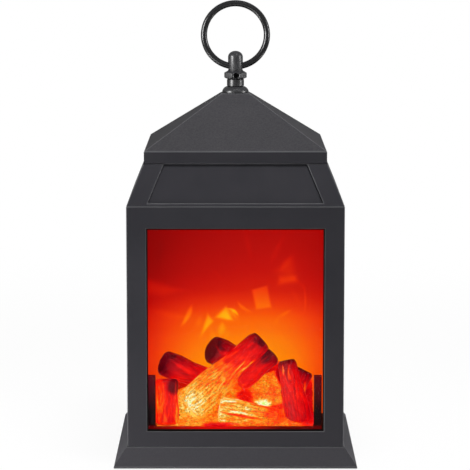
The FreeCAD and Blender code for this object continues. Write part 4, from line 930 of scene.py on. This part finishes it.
def makeLampTree():
    tree, given = newTree("domedLamps", metres(lampShape))
    calc = partial(mathOn, tree)
    low = calc("MULTIPLY", given["Flange Height"], 0.5)
    flange = cylinder(tree, 32, given["Flange"], given["Flange Height"], threeWay(tree, z=low))
    middle = calc("MULTIPLY_ADD", given["Straight"], 0.5, given["Flange Height"])
    body = cylinder(tree, 32, given["Radius"], given["Straight"], threeWay(tree, z=middle))
    dome = addNode(tree, "GeometryNodeMeshUVSphere", {"Segments": 32, "Rings": 16,
                                                      "Radius": given["Radius"]})
    high = calc("ADD", given["Straight"], given["Flange Height"])
    dome = shifted(tree, dome.outputs["Mesh"], threeWay(tree, z=high))
    lamp = joinParts(tree, [flange, body, dome])
    return endTree(tree, onPoints(tree, given["Geometry"], lamp), "lampAmber")


lampTree = makeLampTree()
for name, (node, rows) in lampPlaces.items():
    addPiece(name, grow(lampTree, pointMesh(name + "Points", rows), metres(lampShape)), node, 35)
print("lamps made:", sum(len(rows) for node, rows in lampPlaces.values()))


# Logs: the CAD logs remeshed finely, with bark furrows cut in, and a heat value for the light inside them

bedSet = {"half": 54, "front": -58, "depth": 45, "floor": 23.2, "height": 56}
barkSet = {
    # Sizes in millimetres
    "voxel": 0.55, "furrow": 0.55, "ring": 0.25,
    # How fast the pattern changes round and along a log; stretch is that of the streaks in the finish
    "around": 1.9, "alongScale": 0.055, "fineAround": 7, "fineAlong": 0.16, "stretch": 7,
    # Fractal: how fast finer waves weaken, how much finer each is, and how many there are
    "fractal": (0.8, 2.1, 3), "narrow": 4.5, "fineShare": 0.35,
    "endFrom": 0.75, "endGain": 4, "ringTurn": 3.2, "ringWave": 2,
    # What the pattern adds to the heat
    "fineHeat": 0.06, "grooveHeat": 0.14, "grooveMiddle": 0.25, "ringHeat": 0.08, "topShade": 0.12,
}
# Ends in shares of the bed, then the heat along each log as (share of its length, heat)
logRows = {
    "log_diagonal": ((-0.55, 0.29, 0.175), (0.31, 0.6, 0.89), (
        (0, 0.82), (0.25, 0.78), (0.45, 0.72), (0.55, 0.65), (0.66, 0.52),
        (0.8, 0.45), (0.92, 0.36), (1, 0.22))),
    "log_front": ((-0.19, 0.2, 0.165), (0.49, 0.22, 0.06), (
        (0, 0.84), (0.5, 0.78), (0.8, 0.7), (1, 0.56))),
    "stump_left": ((-0.79, 0.17, 0), (-0.795, 0.27, 0.5), (
        (0, 0.54), (0.5, 0.55), (0.85, 0.5), (1, 0.44))),
    "stump_right": ((0.745, 0.22, 0), (0.59, 0.42, 0.69), (
        (0, 0.38), (0.4, 0.45), (0.8, 0.42), (0.93, 0.28), (1, 0.2))),
    "log_left": ((-0.85, 0.49, 0.655), (-0.35, 0.69, 0.425), (
        (0, 0.22), (0.25, 0.32), (0.6, 0.38), (1, 0.48))),
    "log_crossed": ((-0.28, 0.55, 0.8), (0.11, 0.8, 0.59), (
        (0, 0.2), (0.15, 0.26), (0.5, 0.34), (1, 0.48))),
    "log_forked": ((0.05, 0.36, 0.42), (0.43, 0.58, 0.735), (
        (0, 0.49), (0.5, 0.46), (0.75, 0.34), (1, 0.18))),
    "log_right": ((0.61, 0.6, 0.18), (0.8, 0.68, 0.54), ((0, 0.44), (0.7, 0.38), (1, 0.2))),
}
# Patches painted on a log, seen from the front: place across and up, reach across and up, turn, heat, share
logPatches = {
    "log_diagonal": [
        (-26, 36.5, 8, 10, 20, 0.88, 0.8), (-27.6, 35.6, 3.6, 6, 10, 0.96, 0.9),
        (-15, 42, 5, 3, 40, 0.82, 0.7), (-8, 44, 8, 3, 40, 0.74, 0.7), (-3, 51, 2.6, 7, -40, 0.6, 0.6),
        (1.9, 58.1, 6.4, 0.5, 44, 0.84, 0.95), (7.3, 58.7, 6, 0.5, 40, 0.78, 0.95),
        (-2, 65, 6, 3, 42, 0.5, 0.8), (12.4, 75.4, 1.2, 1.6, 0, 0.2, 0.8),
        (16.2, 74.2, 2.8, 2.4, -40, 0.12, 0.9), (8.8, 79.6, 6, 1, 38, 0.28, 0.7)],
    "log_front": [
        (-11, 32.6, 1.7, 5.6, 10, 0.95, 0.95), (-5, 37.2, 6.4, 1.4, 4, 0.95, 0.95),
        (3, 33.2, 9, 1.6, -8, 0.84, 0.8), (-4, 31.4, 4.2, 0.7, -4, 0.58, 0.8),
        (2, 29.8, 10.5, 0.6, -12, 0.95, 0.9), (4, 27.6, 12, 0.7, -10, 0.52, 0.9),
        (2, 25, 9, 1.2, -4, 0.74, 0.7), (22, 30, 4, 5, 0, 0.6, 0.8), (15, 32, 6, 1, -14, 0.88, 0.8),
        (13, 35.6, 6, 0.7, -14, 0.55, 0.8)],
    "stump_left": [
        (-47.5, 40, 2.6, 14, 0, 0.62, 0.7), (-38.2, 46.4, 4.4, 5.4, -10, 0.16, 0.95),
        (-37.2, 45.2, 0.6, 4, -4, 0.36, 0.8), (-40.6, 32, 2.6, 9, 0, 0.46, 0.7),
        (-43.6, 30, 0.7, 7, 0, 0.68, 0.6), (-36.6, 28, 0.7, 7, 0, 0.8, 0.8)],
    "stump_right": [
        (29.6, 56.4, 0.5, 3.4, 4, 0.76, 0.95), (33.3, 56.4, 0.5, 3.6, -4, 0.7, 0.9),
        (31.4, 56, 0.7, 3.2, 0, 0.26, 0.7), (33.8, 52.2, 1.2, 2, 0, 0.6, 0.7),
        (34, 28, 6, 7, 0, 0.38, 0.5), (40, 40, 3, 10, 6, 0.5, 0.6), (30.6, 64, 6, 2.2, 0, 0.2, 0.9)],
    "log_left": [
        (-46, 57, 3.6, 3.2, 0, 0.16, 0.9), (-39, 65.4, 1.8, 1.4, 0, 0.14, 0.8),
        (-32, 57, 9, 1, -36, 0.52, 0.8), (-28, 55, 9, 0.8, -40, 0.56, 0.8),
        (-24, 54, 7, 3.4, -30, 0.48, 0.7), (-36, 52, 5, 3, 0, 0.46, 0.7)],
    "log_crossed": [
        (-15.6, 67, 3.2, 6, -20, 0.15, 0.8), (-10, 74, 1.4, 1.8, 0, 0.12, 0.8),
        (-4.4, 65, 5, 3, -20, 0.5, 0.9), (-9.8, 68.6, 5, 0.6, -52, 0.42, 0.8),
        (-5, 71, 5, 1.4, -34, 0.32, 0.6)],
    "log_forked": [
        (5, 44, 4, 5, -40, 0.5, 0.8), (19.6, 64.8, 3, 4.4, -38, 0.14, 0.9),
        (16.6, 62.4, 0.5, 5, -48, 0.42, 0.7), (14.6, 52.6, 6, 0.8, 52, 0.36, 0.6)],
    "log_right": [
        (43.9, 41.5, 0.5, 8, 0, 0.72, 0.95), (46, 55, 5, 3, -40, 0.2, 0.8)],
    "ember_bed": [
        (0, 62, 24, 8, 0, 0.42, 0.8), (-28, 32, 12, 11, 0, 0.86, 0.9), (-24, 25, 14, 2.4, 0, 0.76, 0.8),
        (-7, 40, 7, 8, -40, 0.74, 0.8), (22, 47, 7.5, 8, 10, 0.72, 0.9), (29.6, 52, 3, 9, 24, 0.3, 0.95),
        (21, 56.5, 6, 1.2, 18, 0.4, 0.9), (31.5, 40, 2, 7, 8, 0.5, 0.9), (6, 40.6, 5, 4, -10, 0.48, 0.95),
        (17.6, 35.8, 5.4, 2.7, -6, 0.99, 1), (18.1, 35.6, 2.4, 1.2, -6, 1.15, 1),
        (27, 33.4, 6, 1.6, 8, 0.52, 0.8), (8, 36.6, 5, 1, -12, 0.5, 0.8), (26, 27, 6, 3.6, 0, 0.58, 0.8),
        (45.5, 36, 7, 16, 0, 0.38, 0.95), (-11, 22, 8, 2.2, 0, 0.46, 0.95),
        (10, 24, 12, 1.4, 0, 0.78, 0.6), (-36.4, 27, 0.6, 8, 0, 0.86, 0.8)],
}
# From the camera a point shows higher by the slope for each unit that it lies behind the front
patchSet = {"slope": 0.2, "front": -45, "reach": 1.35, "fade": 0.8}


def painted(place, heat, patches):
    up = place.z + patchSet["slope"] * (place.y - patchSet["front"])
    for x, z, wide, tall, turn, aim, share in patches:
        right, above = place.x - x, up - z
        cosine, sine = cos(radians(turn)), sin(radians(turn))
        reach = hypot((right * cosine + above * sine) / wide, (above * cosine - right * sine) / tall)
        if reach < patchSet["reach"]:
            near = min(1.0, (patchSet["reach"] - reach) / patchSet["fade"])
            heat += (aim - heat) * share * near * near * (3 - 2 * near)
    return heat


def alongStops(stops, share):
    for (first, low), (last, high) in zip(stops, stops[1:]):
        if share <= last:
            return low + (high - low) * (share - first) / (last - first)
    return stops[-1][1]


def bedPoint(shares):
    return Vector((shares[0] * bedSet["half"], bedSet["front"] + shares[1] * bedSet["depth"],
                   bedSet["floor"] + shares[2] * bedSet["height"]))


def startCarving(nodeName, voxel):
    # A finely remeshed copy, the two attributes that the ember finishes read, and its normals before carving
    start = plainMesh("remeshing", mergedMesh(nodeName, False))
    mesh = settled(start, "REMESH", {"mode": "VOXEL", "voxel_size": voxel * mm})
    heats = mesh.attributes.new("logHeat", "FLOAT", "POINT")
    barks = mesh.attributes.new("barkPlace", "FLOAT_VECTOR", "POINT")
    return mesh, heats, barks, [vertex.normal.copy() for vertex in mesh.vertices]


def carveLog(nodeName, row):
    start, end = bedPoint(row[0]), bedPoint(row[1])
    way = end - start
    length = way.length
    way.normalize()
    side = way.cross(Vector((0, 1, 0.3))).normalized()
    other = way.cross(side)
    mesh, heats, barks, normals = startCarving(nodeName, barkSet["voxel"])
    seed = sum(ord(letter) for letter in nodeName)
    for index, (vertex, normal) in enumerate(zip(mesh.vertices, normals)):
        place = vertex.co / mm
        out = place - start
        along = out.dot(way)
        angle = atan2(out.dot(other), out.dot(side))
        streak = Vector((out.dot(side), out.dot(other), along / barkSet["stretch"] + seed))
        barks.data[index].vector = streak * mm
        bark = Vector((cos(angle) * barkSet["around"], sin(angle) * barkSet["around"],
                       along * barkSet["alongScale"] + seed))
        furrow = abs(noise.fractal(bark, *barkSet["fractal"]))
        fine = noise.noise(Vector((cos(angle) * barkSet["fineAround"], sin(angle) * barkSet["fineAround"],
                                   along * barkSet["fineAlong"] + seed)))
        onEnd = max(0.0, abs(normal.dot(way)) - barkSet["endFrom"]) * barkSet["endGain"]
        groove = max(0.0, 1 - furrow * barkSet["narrow"])
        deep = barkSet["furrow"] * (groove * (1 - onEnd)
                                    + barkSet["fineShare"] * max(0.0, fine) * (1 - onEnd))
        radius = (out - way * along).length
        rings = 0.5 + 0.5 * sin(radius * barkSet["ringTurn"] + fine * barkSet["ringWave"])
        deep += barkSet["ring"] * onEnd * rings
        vertex.co -= normal * deep * mm
        heat = alongStops(row[2], min(1.0, max(0.0, along / length)))
        heat = painted(place, heat, logPatches[nodeName])
        heat += (barkSet["fineHeat"] * fine
                 + barkSet["grooveHeat"] * (groove - barkSet["grooveMiddle"]) * (1 - onEnd) * heat
                 - barkSet["ringHeat"] * onEnd * (1 - rings))
        heat -= barkSet["topShade"] * max(0.0, normal.z) * max(0.0, 1 - heat)
        heats.data[index].value = heat
    addPiece(camelCase(nodeName), mesh, nodeName, 60)
    return len(mesh.vertices)


emberSet = {"voxel": 0.7, "lump": 0.7, "heat": 0.7, "lumpScale": 0.22, "fractal": (0.7, 2.2, 4),
            "crackScale": 0.5, "crackPlace": (9, 3, 1), "crackWidth": 0.3,
            "lumpHeat": 0.08, "crackHeat": 0.2}


def carveEmbers():
    mesh, heats, barks, normals = startCarving("ember_bed", emberSet["voxel"])
    for index, (vertex, normal) in enumerate(zip(mesh.vertices, normals)):
        place = vertex.co / mm
        barks.data[index].vector = vertex.co
        lumps = noise.fractal(place * emberSet["lumpScale"], *emberSet["fractal"])
        cracks = abs(noise.noise(place * emberSet["crackScale"] + Vector(emberSet["crackPlace"])))
        vertex.co -= normal * emberSet["lump"] * (0.5 + 0.5 * lumps) * mm
        heat = painted(place, emberSet["heat"], logPatches["ember_bed"])
        heat += emberSet["lumpHeat"] * lumps
        heats.data[index].value = heat - emberSet["crackHeat"] * max(0.0, emberSet["crackWidth"] - cracks)
    addPiece("emberMound", mesh, "ember_bed", 60)


for logName, logRow in logRows.items():
    print("  ", logName, carveLog(logName, logRow), "vertices")
carveEmbers()
print("logs and ember mound carved")


# Window shade strip: a thin black edge between the case and the pane, painted shade where the opening's
# inner wall lies in shadow

shadeStripSizes = {"half": 54.5, "low": 22.5, "high": 148.8, "front": -66.6, "back": -64.35, "width": 0.7,
           "sill": 0.95}


def makeWindowShadeStrip():
    outer = [(-shadeStripSizes["half"], shadeStripSizes["low"]), (shadeStripSizes["half"], shadeStripSizes["low"]),
             (shadeStripSizes["half"], shadeStripSizes["high"]), (-shadeStripSizes["half"], shadeStripSizes["high"])]
    wide = shadeStripSizes["width"]
    inner = [(x - wide * (1 if x > 0 else -1), z + shadeStripSizes["sill"] if z == shadeStripSizes["low"] else z - wide)
             for x, z in outer]
    points = [(x, y, z) for y in (shadeStripSizes["front"], shadeStripSizes["back"]) for x, z in outer + inner]
    faces = []
    for index in range(4):
        after = (index + 1) % 4
        faces.append((index, after, after + 4, index + 4))
        faces.append((index + 12, after + 12, after + 8, index + 8))
        faces.append((index + 4, after + 4, after + 12, index + 12))
        faces.append((index + 8, after + 8, after, index))
    mesh = bpy.data.meshes.new("windowSeal")
    mesh.from_pydata([Vector(point) * mm for point in points], [], faces)
    mesh.materials.append(finishes["sealBlack"])
    darkStrip = linked(bpy.data.objects.new("windowSeal", mesh))
    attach(darkStrip, "root")


makeWindowShadeStrip()
print("window seal made")
